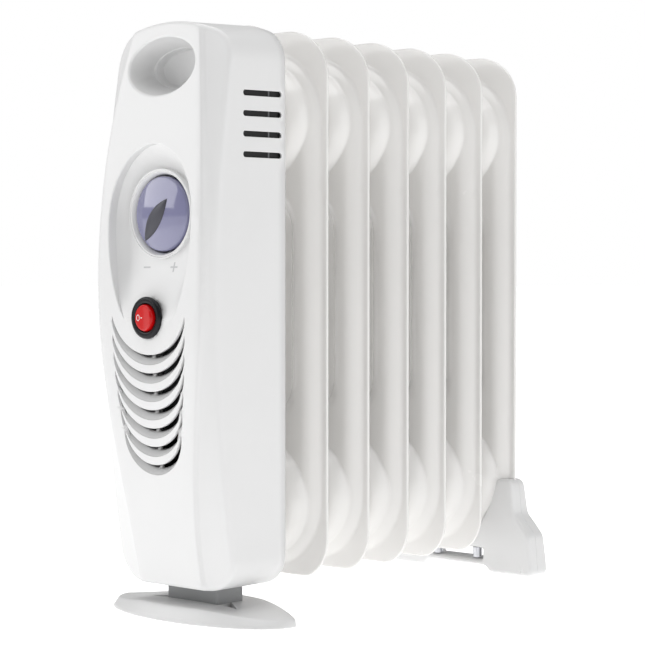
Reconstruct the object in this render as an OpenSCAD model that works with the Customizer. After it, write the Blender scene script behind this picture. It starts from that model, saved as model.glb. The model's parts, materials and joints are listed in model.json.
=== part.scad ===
// Oil filled radiator heater: welded oil fins behind a moulded control housing, on two feet.
// X runs across the heater, -Y is the control end and +Z is up. The origin is on the floor,
// in the middle of the heater's outline. All sizes are in millimetres.

/* [Radiator] */
// Number of fins
fin_count = 7; // [5:1:9]
// Distance from one fin to the next
fin_pitch = 40.6; // [34:0.1:49]
// Width of a fin
fin_w = 97; // [88:0.5:117]
// Height of a fin
fin_h = 353; // [300:1:424]
// Corner radius of a fin
fin_corner_r = 23.5; // [16:0.5:30]
// Thickness of one pressed sheet; a fin is two of them
sheet_t = 1.1; // [0.8:0.1:1.4]
// Height of the fins' lower edges above the floor
fin_lift = 19.8; // [19:0.1:24]
// Largest radius of the pressed header domes
header_r = 34; // [30:0.5:36]
// Radius of the flat neck where two domes are welded together
neck_r = 23; // [21:0.5:26]
// Radius of the oil passage through the necks
passage_r = 15.5; // [14:0.5:17]
// Height of the lower header above a fin's lower edge
low_header_rise = 49.5; // [44:0.5:56]
// Depth of the upper header below a fin's upper edge
high_header_drop = 58.5; // [50:0.5:66]
// Depth of the domes at the two ends of the radiator
end_dome = 9; // [8:0.5:12]
// Width of an oil channel
channel_w = 25; // [20:0.5:27]
// Height of an oil channel above the fin's middle plane
channel_bulge = 7; // [5:0.5:9]
// Flat flange outside an oil channel
flange_w = 4; // [3:0.5:6]

/* [Control housing] */
// Wall of the moulded housing
cover_wall = 2; // [1.6:0.1:2.6]
// Housing's overhang past each side of the fins
cover_overhang = 1.9; // [1:0.1:4]
// Gap between the housing's rear rim and the first fin
rim_gap = 0.3; // [0.2:0.1:1]
// Depth of the housing at the ends of its front corner edges
edge_depth = 43.5; // [38:0.5:52]
// How far the front corner edges bow forward in the middle
edge_bow = 16.6; // [8:0.1:20]
// How far the middle of the front stands proud of the corner edges
crest_lift = 10; // [6:0.5:12]
// Corner radius at the foot of the housing
cover_low_r = 20; // [12:0.5:24]
// Corner radius at the top of the housing
cover_high_r = 22; // [14:0.5:26]
// Radius of the crowned top of the housing
cover_crown_r = 110; // [80:1:160]
// Number of side vents on each side
vent_count = 4; // [1:1:5]
// Distance from one side vent to the next
vent_pitch = 13.65; // [8:0.05:16]
// Length and height of a side vent
vent_size = [34, 3.6]; // [2:0.1:36]
// Number of curved louvres in the front
louvre_count = 7; // [1:1:7]
// Distance from one louvre to the next
louvre_pitch = 11.35; // [9:0.05:12]

/* [Handle pocket] */
// Width and height of the handle pocket
pocket_size = [58, 37]; // [30:1:60]
// Depth of the handle pocket
pocket_depth = 27; // [20:1:32]
// Middle of the handle pocket below the housing's top
pocket_drop = 28.5; // [26:0.5:34]

/* [Controls] */
// Dial's height above the floor
dial_z = 252.5; // [240:0.5:262]
// Outer radius of the dial ring
dial_ring_r = 28; // [26:0.5:30]
// Radius of the thermostat knob
knob_r = 23.3; // [18:0.1:24]
// Rocker switch's height above the floor
rocker_z = 188.4; // [186:0.2:192]
// Radius of the rocker switch's bezel
bezel_r = 13; // [12:0.1:14]
// Radius of the red rocker
rocker_r = 8.4; // [7:0.1:8.8]
// Tilt of the rocker from one stop to the other in degrees
rocker_travel = 14; // [8:1:20]

/* [Feet] */
// Span of the front foot
front_foot_w = 152; // [130:1:183]
// Distance from the front foot's front edge to its rear edge
front_foot_d = 66; // [60:1:72]
// Height of the front foot in the middle
front_foot_h = 9.5; // [8:0.5:11]
// Height of the front foot at its tips
front_foot_tip_h = 5.2; // [4:0.2:7]
// Width and depth of the pedestal under the housing
pedestal_size = [45, 23]; // [20:1:54]
// Span of the rear foot
rear_foot_w = 135; // [125:1:162]
// Height of the rear foot's horns
rear_foot_h = 69; // [60:1:74]
// Depth of the rear foot in front of the last fin and behind it
rear_foot_d = [8, 14]; // [6:0.5:16]

/* [Fits] */
// Clearance around pieces that are laid into each other
seat_gap = 0.2; // [0.1:0.05:0.4]
// Radial clearance of shafts and pivots
run_gap = 0.05; // [0.02:0.01:0.08]
// Clearance around pieces that move
move_gap = 0.4; // [0.3:0.1:0.8]
// Radius of a screw's shank
screw_r = 2; // [1.5:0.1:2.2]
// How far a piece that is drawn in two lengths runs into itself
bite = 1; // [0.5:0.1:1.2]

/* [Hidden] */
$fn = 64;
plate_t = 1.2;
head_r = screw_r * 1.9;

// Radiator: places along Y are counted from the housing's rear rim.
fin_run = (fin_count - 1) * fin_pitch;
crest_depth = edge_depth + edge_bow + crest_lift;
bezel_t = 2.2;
pivot_sink = 1.4;
rocker_face = 2.2;
front_reach = crest_depth + bezel_t - pivot_sink + rocker_face + rocker_r * sin(rocker_travel);
total_len = front_reach + rim_gap + sheet_t + fin_run + rear_foot_d[1];
rim_y = front_reach - total_len / 2;
first_fin_y = rim_y + rim_gap + sheet_t;
last_fin_y = first_fin_y + fin_run;
fin_top = fin_lift + fin_h;
low_z = fin_lift + low_header_rise;
high_z = fin_top - high_header_drop;
chamber_hw = fin_w / 2 - flange_w;
channel_x = chamber_hw - channel_w / 2;
channel_inset = 3;
front_dome_y = first_fin_y - end_dome;
rear_dome_y = last_fin_y + end_dome;
cap_t = 1.6;

// Element: socket, gasket and plug stacked on the first fin's lower dome.
socket_len = 6;
socket_r = passage_r + 4.5;
gasket_t = 1.5;
plug_t = 6;
plug_y = front_dome_y - socket_len - gasket_t;
plug_front = plug_y - plug_t;
element_r = 4;
element_leg_x = 7;
element_len = fin_run - 20;
stud_len = 12;

// Housing
cover_hw = fin_w / 2 + cover_overhang;
cover_bottom = fin_lift + 1;
cover_top = fin_top + 0.8;
crown_z = cover_top - cover_crown_r;
high_corner_x = cover_hw - cover_high_r;
high_corner_z = crown_z + sqrt(pow(cover_crown_r - cover_high_r, 2) - pow(high_corner_x, 2));
high_corner_a = atan2(high_corner_z - crown_z, high_corner_x);
widest_z = cover_bottom + 196;
cover_mid_z = (cover_bottom + cover_top) / 2;
crease_low = cover_hw - 23;
crease_wide = cover_hw - 4.9;
crease_high = cover_hw - 22.4;
crest_y = rim_y - crest_depth;

// Heat shield: clear of the capped dome of the first fin
shield_back = front_dome_y - cap_t - 2;
shield_front = shield_back - plate_t;
shield_gap = 1;
standoff_r = 4;
standoff_x = 11;
standoff_z = [low_z + 76, high_z - 70];
flange_z = cover_bottom + cover_wall;
hook_y = shield_back + seat_gap;

// Control dish, dial and thermostat
dish_hw = 36.5;
dish_top = dial_z + 43.5;
dish_low = dial_z - 79;
dish_mid = dial_z - 3.5;
dish_start = rocker_z - 1.4;
ring_t = 2;
ring_y = crest_y + 10.6;
dish_knee = [ring_y + ring_t + 0.6, dial_z - dial_ring_r - 1];
dish_end = [dish_knee[0] + 2.8, dish_top + 10];
ring_bore_r = knob_r + 1;
boss_back = ring_y + 14.5;
bracket_screw_r = 1.4;
bracket_screw_x = (ring_bore_r + dial_ring_r) / 2;
bracket_back = boss_back + plate_t;
knob_back = boss_back - 1.5;
skirt_y = ring_y + 1.5;
knob_wall = 2;
dome_rise = 3.4;
dome_r = (pow(knob_r, 2) + pow(dome_rise, 2)) / (2 * dome_rise);
shaft_r = 3;
hub_r = 5.6;
grip_len = knob_r + 10.7;
grip_w = 11;
grip_proud = 1.2;
grip_angle = -40;
stat_size = [36, 18, 38];
stat_back = bracket_back + stat_size[1];

// Rocker switch: the bezel's flange seats on the housing's crest
bezel_front = crest_y - bezel_t;
bezel_seat_t = 7;
switch_tube_r = 10.6;
switch_back = crest_y + 18;
pivot_y = bezel_front + pivot_sink;
pivot_r = 0.9;
rocker_bore_r = rocker_r + move_gap;
rocker_back = 3.6;
contact_len = 7;
contact_w = 4.8;
contact_t = 0.8;
contact_x = 4;

// Handle pocket and louvres
pocket_z = cover_top - pocket_drop;
louvre_tip_z = rocker_z - 2.4;
louvre_hw = 32.6;
louvre_outer_sag = 26.6;
louvre_inner_sag = 20.4;
louvre_rib = 3;
vent_top_z = cover_top - 47;
vent_y = rim_y - 20.2;

// Inlet
inlet_z = cover_bottom + 42;
inlet_y = rim_y - 24;
inlet_r = 3.6;
gland_r = 6;

// Terminal block and leads
block_z = low_z + 44;
block_y = shield_front;
block_front = block_y - 13;
block_hw = 20;
stud_x = 28;
stud_z = low_z + 34;
earth_stud_len = 8;
lead_r = 1.5;

// Feet
pedestal_y = rim_y - 20.5;
pedestal_screw_x = 13;
foot_screw_y = 7;
nut_r = 4;
nut_h = 3;
foot_front_y = rim_y - 57.8;
foot_tip_y = rim_y - 22;
foot_back_y = foot_front_y + front_foot_d;
clasp_t = 1.5;
clasp_screw_r = 1.5;
clasp_head_r = 3;
rear_front_y = last_fin_y - rear_foot_d[0];
rear_back_y = last_fin_y + rear_foot_d[1];
boss_clear_r = header_r + 5.5;
bar_z = [5, 9.2];
bridge_z = 17.4;
bar_hw = 25;
thumb_x = 18;
screw_spots = [[38, 10], [57, 21]];
thumb_y = last_fin_y - 4.6;

fin_nodes = [for (k = [1:fin_count]) str("fin_", k)];

// ---------- helpers ----------

// Points of an arc about (cx, cy), from angle a0 to angle a1, both ends included
function arc(cx, cy, r, a0, a1, n = 8) =
    [for (i = [0:n]) let (a = a0 + (a1 - a0) * i / n) [cx + r * cos(a), cy + r * sin(a)]];

// The same arc without its two ends, for a stretch between two others
function open_arc(cx, cy, r, a0, a1, n = 12) =
    [for (i = [1:n - 1]) let (a = a0 + (a1 - a0) * i / n) [cx + r * cos(a), cy + r * sin(a)]];

function ellipse(cx, cy, a, b, a0 = 0, a1 = 360, n = 36) =
    [for (i = [0:n - 1]) let (t = a0 + (a1 - a0) * i / n) [cx + a * cos(t), cy + b * sin(t)]];

// Radius of a circle through the two ends of a chord and its sagitta
function sag_r(half_chord, sag) = (pow(half_chord, 2) + pow(sag, 2)) / (2 * sag);

// An outline drawn in X and Z, given depth from y0 back to y1
module along_y(y0, y1) {
    translate([0, y1, 0]) rotate([90, 0, 0]) linear_extrude(y1 - y0) children();
}

// An outline drawn in Y and Z, given width from x0 to x1
module along_x(x0, x1) {
    translate([x0, 0, 0]) rotate([90, 0, 90]) linear_extrude(x1 - x0) children();
}

module rod_y(r, y0, y1, x = 0, z = 0) {
    translate([x, y1, z]) rotate([90, 0, 0]) cylinder(r = r, h = y1 - y0);
}

module rod_x(r, x0, x1, y = 0, z = 0) {
    translate([x0, y, z]) rotate([0, 90, 0]) cylinder(r = r, h = x1 - x0);
}

module rod_z(r, z0, z1, x = 0, y = 0) {
    translate([x, y, z0]) cylinder(r = r, h = z1 - z0);
}

module slab(x, y, z) {
    translate([x[0], y[0], z[0]]) cube([x[1] - x[0], y[1] - y[0], z[1] - z[0]]);
}

module both_sides() {
    children();
    mirror([1, 0, 0]) children();
}

// ---------- radiator ----------

// Outline of a fin, drawn in by e all round
function fin_outline(e = 0) =
    let (x = fin_w / 2 - fin_corner_r, r = fin_corner_r - e,
         z0 = fin_lift + fin_corner_r, z1 = fin_top - fin_corner_r)
    concat(arc(x, z0, r, -90, 0), arc(x, z1, r, 0, 90),
           arc(-x, z1, r, 90, 180), arc(-x, z0, r, 180, 270));

// Quarter-round profile of a header dome, as radius against depth
function dome_profile(depth, e) =
    concat([[0, -e], [header_r - e, 0]],
           [for (i = [1:6]) let (a = 90 * i / 6)
               [neck_r - e + (header_r - neck_r) * cos(a), (depth - e) * sin(a)]],
           [[0, depth - e]]);

module dome(depth, e, z, back) {
    translate([0, 0, z]) rotate([back ? -90 : 90, 0, 0])
        rotate_extrude() polygon(dome_profile(depth, e));
}

// The two pressed domes of a fin, front and rear, at one header height
module header(z, front, back, e) {
    dome(front, e, z, false);
    dome(back, e, z, true);
}

// The side channels: a lens section run from header to header
module channels(e) {
    r = sag_r(channel_w / 2, channel_bulge);
    z0 = low_z + channel_inset + e;
    both_sides() translate([channel_x, 0, z0]) linear_extrude(high_z - channel_inset - e - z0)
        intersection() {
            translate([0, r - channel_bulge]) circle(r - e);
            translate([0, channel_bulge - r]) circle(r - e);
        }
}

// One fin about its own middle plane, with the depth of its front and rear domes
module fin_shape(front, back) {
    difference() {
        union() {
            along_y(-sheet_t, sheet_t) polygon(fin_outline());
            channels(0);
            header(low_z, front, back, 0);
            header(high_z, front, back, 0);
        }
        channels(sheet_t);
        header(low_z, front, back, sheet_t);
        header(high_z, front, back, sheet_t);
        rod_y(passage_r, -front - 1, back + 1, 0, low_z);
        rod_y(passage_r, -front - 1, back + 1, 0, high_z);
    }
}

module fin(k) {
    front = k == 1 ? end_dome : fin_pitch / 2;
    back = k == fin_count ? end_dome : fin_pitch / 2;
    color("whitesmoke") translate([0, first_fin_y + (k - 1) * fin_pitch, 0])
        fin_shape(front, back);
}

module front_header_cap() {
    color("whitesmoke") difference() {
        rod_y(neck_r - 2, front_dome_y - cap_t, front_dome_y, 0, high_z);
        rod_y(screw_r + 2, front_dome_y - cap_t - 1, front_dome_y + 1, 0, high_z);
    }
}

module rear_header_caps() {
    color("whitesmoke") for (z = [low_z, high_z])
        rod_y(neck_r - 2, rear_dome_y, rear_dome_y + cap_t, 0, z);
}

module oil_fill_plug() {
    color("silver") union() {
        rod_y(screw_r + 2, front_dome_y - cap_t - bite, front_dome_y + 3, 0, high_z);
        translate([0, front_dome_y - cap_t, high_z]) rotate([90, 0, 0])
            cylinder(r = 6, h = 1.6, $fn = 6);
    }
}

// ---------- heating element ----------

module element_socket() {
    color("lightgray") difference() {
        rod_y(socket_r, front_dome_y - socket_len, front_dome_y, 0, low_z);
        rod_y(passage_r + 0.5, front_dome_y - socket_len - 1, front_dome_y + 1, 0, low_z);
    }
}

module element_gasket() {
    color("dimgray") difference() {
        rod_y(socket_r - 0.5, plug_y, plug_y + gasket_t, 0, low_z);
        rod_y(passage_r + 0.5, plug_y - 1, plug_y + gasket_t + 1, 0, low_z);
    }
}

module element_plug() {
    color("goldenrod") difference() {
        union() {
            translate([0, plug_y, low_z]) rotate([90, 0, 0])
                cylinder(r = socket_r + 2, h = plug_t, $fn = 6);
            rod_y(passage_r + 0.5 - run_gap, plug_y, plug_y + gasket_t + socket_len - 0.5, 0, low_z);
        }
        for (x = [-1, 1])
            rod_y(element_r, plug_front - 1, plug_y + socket_len + 3, x * element_leg_x, low_z);
    }
}

module heating_element() {
    bend_y = plug_front + element_len;
    color("darkgray") {
        for (x = [-1, 1])
            rod_y(element_r, plug_front, bend_y, x * element_leg_x, low_z);
        translate([0, bend_y, low_z]) rotate_extrude(angle = 180)
            translate([element_leg_x, 0]) circle(element_r);
    }
}

module element_terminals() {
    color("gainsboro") for (x = [-1, 1]) {
        rod_y(3.4, plug_front - 5, plug_front, x * element_leg_x, low_z);
        rod_y(1.6, plug_front - stud_len, plug_front - 5 + bite, x * element_leg_x, low_z);
    }
}

// ---------- heat shield ----------

module shield_standoffs() {
    color("silver") for (x = [-1, 1], z = standoff_z) difference() {
        rod_y(standoff_r, shield_back, first_fin_y - sheet_t, x * standoff_x, z);
        rod_y(screw_r, shield_back - 1, shield_back + 8, x * standoff_x, z);
    }
}

module heat_shield() {
    color("lightsteelblue") difference() {
        union() {
            along_y(shield_front, shield_back) polygon(cover_outline(cover_wall + shield_gap));
            slab([-26, 26], [pedestal_y - 10, shield_back], [flange_z, flange_z + plate_t]);
        }
        rod_y(socket_r + 1.5, shield_front - 1, shield_back + 1, 0, low_z);
        for (x = [-1, 1], z = standoff_z)
            rod_y(screw_r + seat_gap, shield_front - 1, shield_back + 1, x * standoff_x, z);
        for (x = [-1, 1])
            rod_z(screw_r + seat_gap, flange_z - 1, flange_z + 3, x * pedestal_screw_x, pedestal_y);
        rod_y(screw_r, shield_front - 1, shield_back + 1, stud_x, stud_z);
    }
}

module shield_screws() {
    color("silver") for (x = [-1, 1], z = standoff_z) {
        rod_y(screw_r, shield_front - bite, shield_back + 8, x * standoff_x, z);
        rod_y(head_r, shield_front - 2.2, shield_front, x * standoff_x, z);
    }
}

module thermal_cutout() {
    z = (standoff_z[0] + standoff_z[1]) / 2;
    color("black") rod_y(7.5, first_fin_y - sheet_t - 7, first_fin_y - sheet_t, 0, z);
}

module cutout_strap() {
    z = (standoff_z[0] + standoff_z[1]) / 2;
    y1 = first_fin_y - sheet_t;
    color("silver") {
        slab([-13, 13], [y1 - 7.8, y1 - 7], [z - 4, z + 4]);
        for (x = [-13, 12.2]) slab([x, x + 0.8], [y1 - 7, y1], [z - 4, z + 4]);
    }
}

// ---------- control housing ----------

// Outline of the housing seen from the front, drawn in by e all round
function cover_outline(e = 0) =
    let (x = cover_hw - cover_low_r, z = cover_bottom + cover_low_r,
         r0 = cover_low_r - e, r1 = cover_high_r - e, a = high_corner_a)
    concat(arc(x, z, r0, -90, 0), arc(high_corner_x, high_corner_z, r1, 0, a),
           open_arc(0, crown_z, cover_crown_r - e, a, 180 - a),
           arc(-high_corner_x, high_corner_z, r1, 180 - a, 180), arc(-x, z, r0, 180, 270));

// Front corner edge and crest, as distances along Y at a height z
function bow(z) = 1 - pow((z - cover_mid_z) / (cover_top - cover_mid_z), 2);
function edge_y(z) = rim_y - edge_depth - edge_bow * bow(z);
function crest_at(z) = edge_y(z) - crest_lift * (0.7 + 0.3 * bow(z));

// Half the width between the two creases that bound the crest
function crease_x(z) = z < widest_z
    ? let (a = 180 * (z - cover_bottom) / (widest_z - cover_bottom))
        crease_low + (crease_wide - crease_low) * (1 - cos(a)) / 2
    : let (t = (z - widest_z) / (cover_top - widest_z))
        crease_wide - (crease_wide - crease_high) * pow(t, 2);

// One level of the housing's block; e moves its front wall in, and its sides run past the outline
function block_section(z, e, y_back) =
    let (c = crease_x(z), yc = crest_at(z), s = (edge_y(z) - yc) / (cover_hw - c),
         ci = c - 0.6 * e, w = cover_hw + 2, yw = yc + e + s * (w - ci))
    [[-w, y_back], [w, y_back], [w, yw], [ci, yc + e], [-ci, yc + e], [-w, yw]];

module cover_block(e, y_back, levels = 14) {
    z0 = cover_bottom - 1;
    dz = (cover_top + 1 - z0) / levels;
    m = 6;
    points = [for (i = [0:levels]) let (z = z0 + i * dz)
        for (p = block_section(z, e, y_back)) [p[0], p[1], z]];
    walls = [for (i = [0:levels - 1], j = [0:m - 1])
        let (a = i * m + j, b = i * m + (j + 1) % m)
        each [[a, b, b + m], [a, b + m, a + m]]];
    caps = [[for (j = [0:m - 1]) levels * m + j], [for (j = [m - 1:-1:0]) j]];
    polyhedron(points = points, faces = concat(walls, caps));
}

// The housing's outer form, or its hollow when e is the wall
module cover_form(e, y_back) {
    intersection() {
        cover_block(e, y_back);
        along_y(crest_y - 20, y_back) polygon(cover_outline(e));
    }
}

// Egg outline of the control dish: a short upper half and a long lower half
function dish_outline(e = 0) =
    concat(ellipse(0, dish_mid, dish_hw + e, dish_top - dish_mid + e, 0, 180, 18),
           ellipse(0, dish_mid, dish_hw + e, dish_mid - dish_low + e, 180, 360, 18));

// All that lies in front of the dish's floor, moved back by e: a ramp up to the dial, then a back wall
module dish_space(e) {
    intersection() {
        along_y(crest_y - 20, boss_back) polygon(dish_outline(e));
        along_x(-dish_hw - 5, dish_hw + 5) polygon([
            [crest_y - 15, dish_start], [crest_y + e, dish_start], dish_knee + [e, 0],
            dish_end + [e, 0], [crest_y - 15, dish_end[1]]]);
    }
}

// One smile-shaped louvre: the space between two arcs, parted by a rib
module louvre(i) {
    hw = louvre_hw - 0.2 * i * i;
    tip = louvre_tip_z - i * louvre_pitch;
    r_out = sag_r(hw, louvre_outer_sag);
    r_in = sag_r(hw, louvre_inner_sag);
    difference() {
        translate([0, tip - louvre_outer_sag + r_out]) circle(r_out);
        translate([0, tip - louvre_inner_sag + r_in]) circle(r_in);
        translate([-louvre_rib / 2, tip - 40]) square([louvre_rib, 40]);
        translate([-50, tip]) square([100, 60]);
    }
}

module vent(z) {
    r = vent_size[1] / 2;
    half = vent_size[0] / 2 - r;
    translate([vent_y - half, z - r]) square([2 * half, 2 * r]);
    for (s = [-1, 1]) translate([vent_y + s * half, z]) circle(r);
}

module cover_shell() {
    difference() {
        cover_form(0, rim_y);
        cover_form(cover_wall, rim_y + 5);
    }
}

module pocket_outline(e) {
    polygon(ellipse(0, pocket_z, pocket_size[0] / 2 + e, pocket_size[1] / 2 + e));
}

// Walls inside the housing: handle cup, dish tray, switch seat and the hooks for the shield
module cover_insides() {
    floor_y = crest_at(pocket_z) + pocket_depth;
    intersection() {
        cover_form(0, rim_y);
        union() {
            along_y(crest_y, floor_y + cover_wall) pocket_outline(cover_wall);
            dish_space(cover_wall);
            rod_y(bezel_r + 1, crest_y, crest_y + bezel_seat_t, 0, rocker_z);
            for (x = [-30, 22])
                slab([x, x + 8], [hook_y, hook_y + 3], [cover_top - 14, cover_top]);
        }
    }
}

module front_cover() {
    color("whitesmoke") difference() {
        union() {
            difference() {
                union() {
                    cover_shell();
                    cover_insides();
                }
                dish_space(0);
            }
            rod_y(dial_ring_r, ring_y + ring_t, boss_back, 0, dial_z);
            rod_y(bezel_r, crest_y, crest_y + bezel_seat_t, 0, rocker_z);
        }
        along_y(crest_y - 20, crest_at(pocket_z) + pocket_depth) pocket_outline(0);
        rod_y(ring_bore_r, crest_y - 10, boss_back + 1, 0, dial_z);
        rod_y(switch_tube_r + seat_gap, crest_y - 10, crest_y + bezel_seat_t + 2, 0, rocker_z);
        for (i = [0:louvre_count - 1]) along_y(crest_y - 10, crest_y + 12) louvre(i);
        for (i = [0:vent_count - 1])
            along_x(-cover_hw - 5, cover_hw + 5) vent(vent_top_z - i * vent_pitch);
        rod_x(gland_r + seat_gap, -cover_hw - 5, 0, inlet_y, inlet_z);
        for (x = [-1, 1])
            rod_z(screw_r + seat_gap, cover_bottom - 1, flange_z + 1, x * pedestal_screw_x, pedestal_y);
        for (x = [-1, 1])
            rod_y(bracket_screw_r, boss_back - 8, boss_back + 1, x * bracket_screw_x, dial_z);
    }
}

// ---------- thermostat and knob ----------

module dial_ring() {
    color("white") difference() {
        rod_y(dial_ring_r, ring_y, ring_y + ring_t, 0, dial_z);
        rod_y(ring_bore_r, ring_y - 1, ring_y + ring_t + 1, 0, dial_z);
    }
}

module thermostat_bracket() {
    color("silver") difference() {
        rod_y(dial_ring_r, boss_back, bracket_back, 0, dial_z);
        rod_y(shaft_r + run_gap, boss_back - 1, bracket_back + 1, 0, dial_z);
        for (x = [-1, 1])
            rod_y(bracket_screw_r + seat_gap, boss_back - 1, bracket_back + 1, x * bracket_screw_x, dial_z);
    }
}

module bracket_screws() {
    color("silver") for (x = [-1, 1]) {
        rod_y(bracket_screw_r, boss_back - 7, bracket_back + bite, x * bracket_screw_x, dial_z);
        rod_y(2.6, bracket_back, bracket_back + 1.8, x * bracket_screw_x, dial_z);
    }
}

module thermostat_body() {
    color("tan") difference() {
        slab([-stat_size[0] / 2, stat_size[0] / 2], [bracket_back, stat_back],
             [dial_z - stat_size[2] / 2, dial_z + stat_size[2] / 2]);
        rod_y(shaft_r + run_gap, bracket_back - 1, bracket_back + 10, 0, dial_z);
    }
}

module thermostat_shaft() {
    color("silver") rod_y(shaft_r, skirt_y + knob_wall, bracket_back + 9, 0, dial_z);
}

// A domed face over a hollow skirt, with a hub for the shaft and a slot for the grip blade
module control_knob() {
    color("slategray") difference() {
        union() {
            rod_y(knob_r, skirt_y, knob_back, 0, dial_z);
            intersection() {
                translate([0, skirt_y - dome_rise + dome_r, dial_z]) sphere(dome_r, $fn = 128);
                rod_y(knob_r, skirt_y - dome_rise - 1, skirt_y + 0.5, 0, dial_z);
            }
        }
        difference() {
            rod_y(knob_r - knob_wall, skirt_y + knob_wall, knob_back + 1, 0, dial_z);
            rod_y(hub_r, skirt_y, knob_back + 2, 0, dial_z);
        }
        rod_y(shaft_r, skirt_y + knob_wall, knob_back + 1, 0, dial_z);
        along_y(skirt_y - dome_rise - 5, skirt_y + 0.6) grip_outline();
    }
}

// Lens-shaped outline of the grip blade, turned to the knob's resting mark
module grip_outline() {
    r = sag_r(grip_len / 2, grip_w / 2);
    translate([0, dial_z]) rotate(grip_angle) translate([0, grip_len / 2 - knob_r + 1.3])
        intersection() {
            translate([r - grip_w / 2, 0]) circle(r);
            translate([grip_w / 2 - r, 0]) circle(r);
        }
}

module knob_grip() {
    color("dimgray") along_y(skirt_y - dome_rise - grip_proud, skirt_y + 0.6) grip_outline();
}

// ---------- rocker switch ----------

module switch_body() {
    color("black") difference() {
        union() {
            rod_y(bezel_r, bezel_front, crest_y, 0, rocker_z);
            rod_y(switch_tube_r, crest_y, switch_back, 0, rocker_z);
        }
        rod_y(rocker_bore_r, bezel_front - 1, switch_back - 3, 0, rocker_z);
        rod_z(pivot_r + run_gap, rocker_z - rocker_r - 1.2, rocker_z + rocker_r + 1.2, 0, pivot_y);
        for (x = [-contact_x, contact_x])
            slab([x - contact_t / 2, x + contact_t / 2], [switch_back - 4, switch_back + 1],
                 [rocker_z - contact_w / 2, rocker_z + contact_w / 2]);
    }
}

// The rocker's sides are a ball about its pivot, so they clear the bezel at every tilt;
// its face is two flats that meet in a shallow valley, one of them level at each stop.
module switch_rocker() {
    half = rocker_travel / 2;
    color("red") translate([0, pivot_y, rocker_z]) rotate([0, 0, -half]) difference() {
        union() {
            sphere(rocker_r);
            rod_z(pivot_r, -rocker_r - 1, rocker_r + 1);
        }
        intersection_for(s = [-1, 1])
            translate([0, -rocker_face, 0]) rotate([0, 0, s * half]) translate([-20, -20, -20])
                cube([40, 20, 40]);
        translate([-15, rocker_back, -15]) cube([30, 12, 30]);
    }
}

module switch_lamp() {
    color("orange") rod_y(1.6, switch_back - 9, switch_back - 3, 0, rocker_z - 5.2);
}

module switch_contacts() {
    z = [rocker_z - contact_w / 2, rocker_z + contact_w / 2];
    color("gold") for (x = [-contact_x, contact_x])
        slab([x - contact_t / 2, x + contact_t / 2], [switch_back - 3, switch_back + contact_len], z);
}

// ---------- wiring ----------

function unit(v) = v / norm(v);

// Cuts every corner of a route at a quarter and three quarters of its runs
function eased(p) = concat([p[0]],
    [for (i = [0:len(p) - 2]) each [p[i] * 0.75 + p[i + 1] * 0.25, p[i] * 0.25 + p[i + 1] * 0.75]],
    [p[len(p) - 1]]);

// A sleeved lead: a ring of points swept along its eased route
module lead(route, tint, sides = 8) {
    p = eased(eased(route));
    n = len(p);
    rings = [for (i = [0:n - 1])
        let (t = unit(p[min(i + 1, n - 1)] - p[max(i - 1, 0)]),
             u = unit(cross(t, [1, 1, 0])), v = cross(t, u))
        for (k = [0:sides - 1]) let (a = 360 * k / sides) p[i] + lead_r * (u * cos(a) + v * sin(a))];
    walls = [for (i = [0:n - 2], k = [0:sides - 1])
        let (a = i * sides + k, b = i * sides + (k + 1) % sides)
        each [[a, b, b + sides], [a, b + sides, a + sides]]];
    caps = [[for (k = [sides - 1:-1:0]) k], [for (k = [0:sides - 1]) (n - 1) * sides + k]];
    faces = [for (f = concat(walls, caps)) [for (i = [len(f) - 1:-1:0]) f[i]]];
    color(tint) polyhedron(points = rings, faces = faces);
}

module terminal_block() {
    color("ivory") difference() {
        slab([-block_hw, block_hw], [block_front, block_y], [block_z - 7, block_z + 7]);
        for (x = [-12, 0, 12]) rod_y(2, block_front - 1, block_front + 6, x, block_z);
    }
}

module earth_stud() {
    color("silver") {
        rod_y(screw_r, shield_front - earth_stud_len, shield_back, stud_x, stud_z);
        translate([stud_x, shield_front, stud_z]) rotate([90, 0, 0])
            cylinder(r = nut_r, h = nut_h, $fn = 6);
    }
}

module lead_switch() {
    y1 = switch_back + contact_len;
    lead([[contact_x, y1, rocker_z], [contact_x, y1 + 6, rocker_z], [12, block_y - 7, block_z + 34],
          [12, block_y - 7, block_z + 7]], "saddlebrown");
}

module lead_thermostat() {
    z0 = dial_z - stat_size[2] / 2;
    lead([[-10, stat_back - 6, z0], [-10, stat_back - 6, z0 - 24], [-12, block_y - 7, block_z + 50],
          [-12, block_y - 7, block_z + 7]], "steelblue");
}

module lead_element() {
    y1 = plug_front - stud_len;
    lead([[-element_leg_x, y1, low_z], [-element_leg_x, y1 - 6, low_z],
          [-4, block_y - 14, block_z - 26], [-2, block_y - 7, block_z - 17],
          [-2, block_y - 7, block_z - 7]], "steelblue");
}

module lead_earth() {
    y1 = shield_front - earth_stud_len;
    lead([[stud_x, y1, stud_z], [stud_x, y1 - 6, stud_z],
          [stud_x + 4, block_y - 7, block_z], [block_hw, block_y - 7, block_z]], "yellowgreen");
}

module cord_gland() {
    x0 = -cover_hw;
    color("dimgray") difference() {
        union() {
            rod_x(gland_r + 3, x0 - 3, x0, inlet_y, inlet_z);
            rod_x(gland_r, x0, x0 + cover_wall + 4, inlet_y, inlet_z);
        }
        rod_x(inlet_r, x0 - 4, x0 + cover_wall + 5, inlet_y, inlet_z);
    }
}

// ---------- feet ----------

// Leaf outline of the front foot: two shallow arcs that meet at rounded tips
module front_foot_outline() {
    tip = front_foot_w / 2;
    r_front = sag_r(tip, foot_tip_y - 3 - foot_front_y);
    r_back = sag_r(tip, foot_back_y - foot_tip_y - 5);
    intersection() {
        translate([0, foot_front_y + r_front]) circle(r_front, $fn = 128);
        translate([0, foot_back_y - r_back]) circle(r_back, $fn = 128);
        translate([-tip, foot_front_y - 1]) square([2 * tip, front_foot_d + 2]);
    }
}

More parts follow.
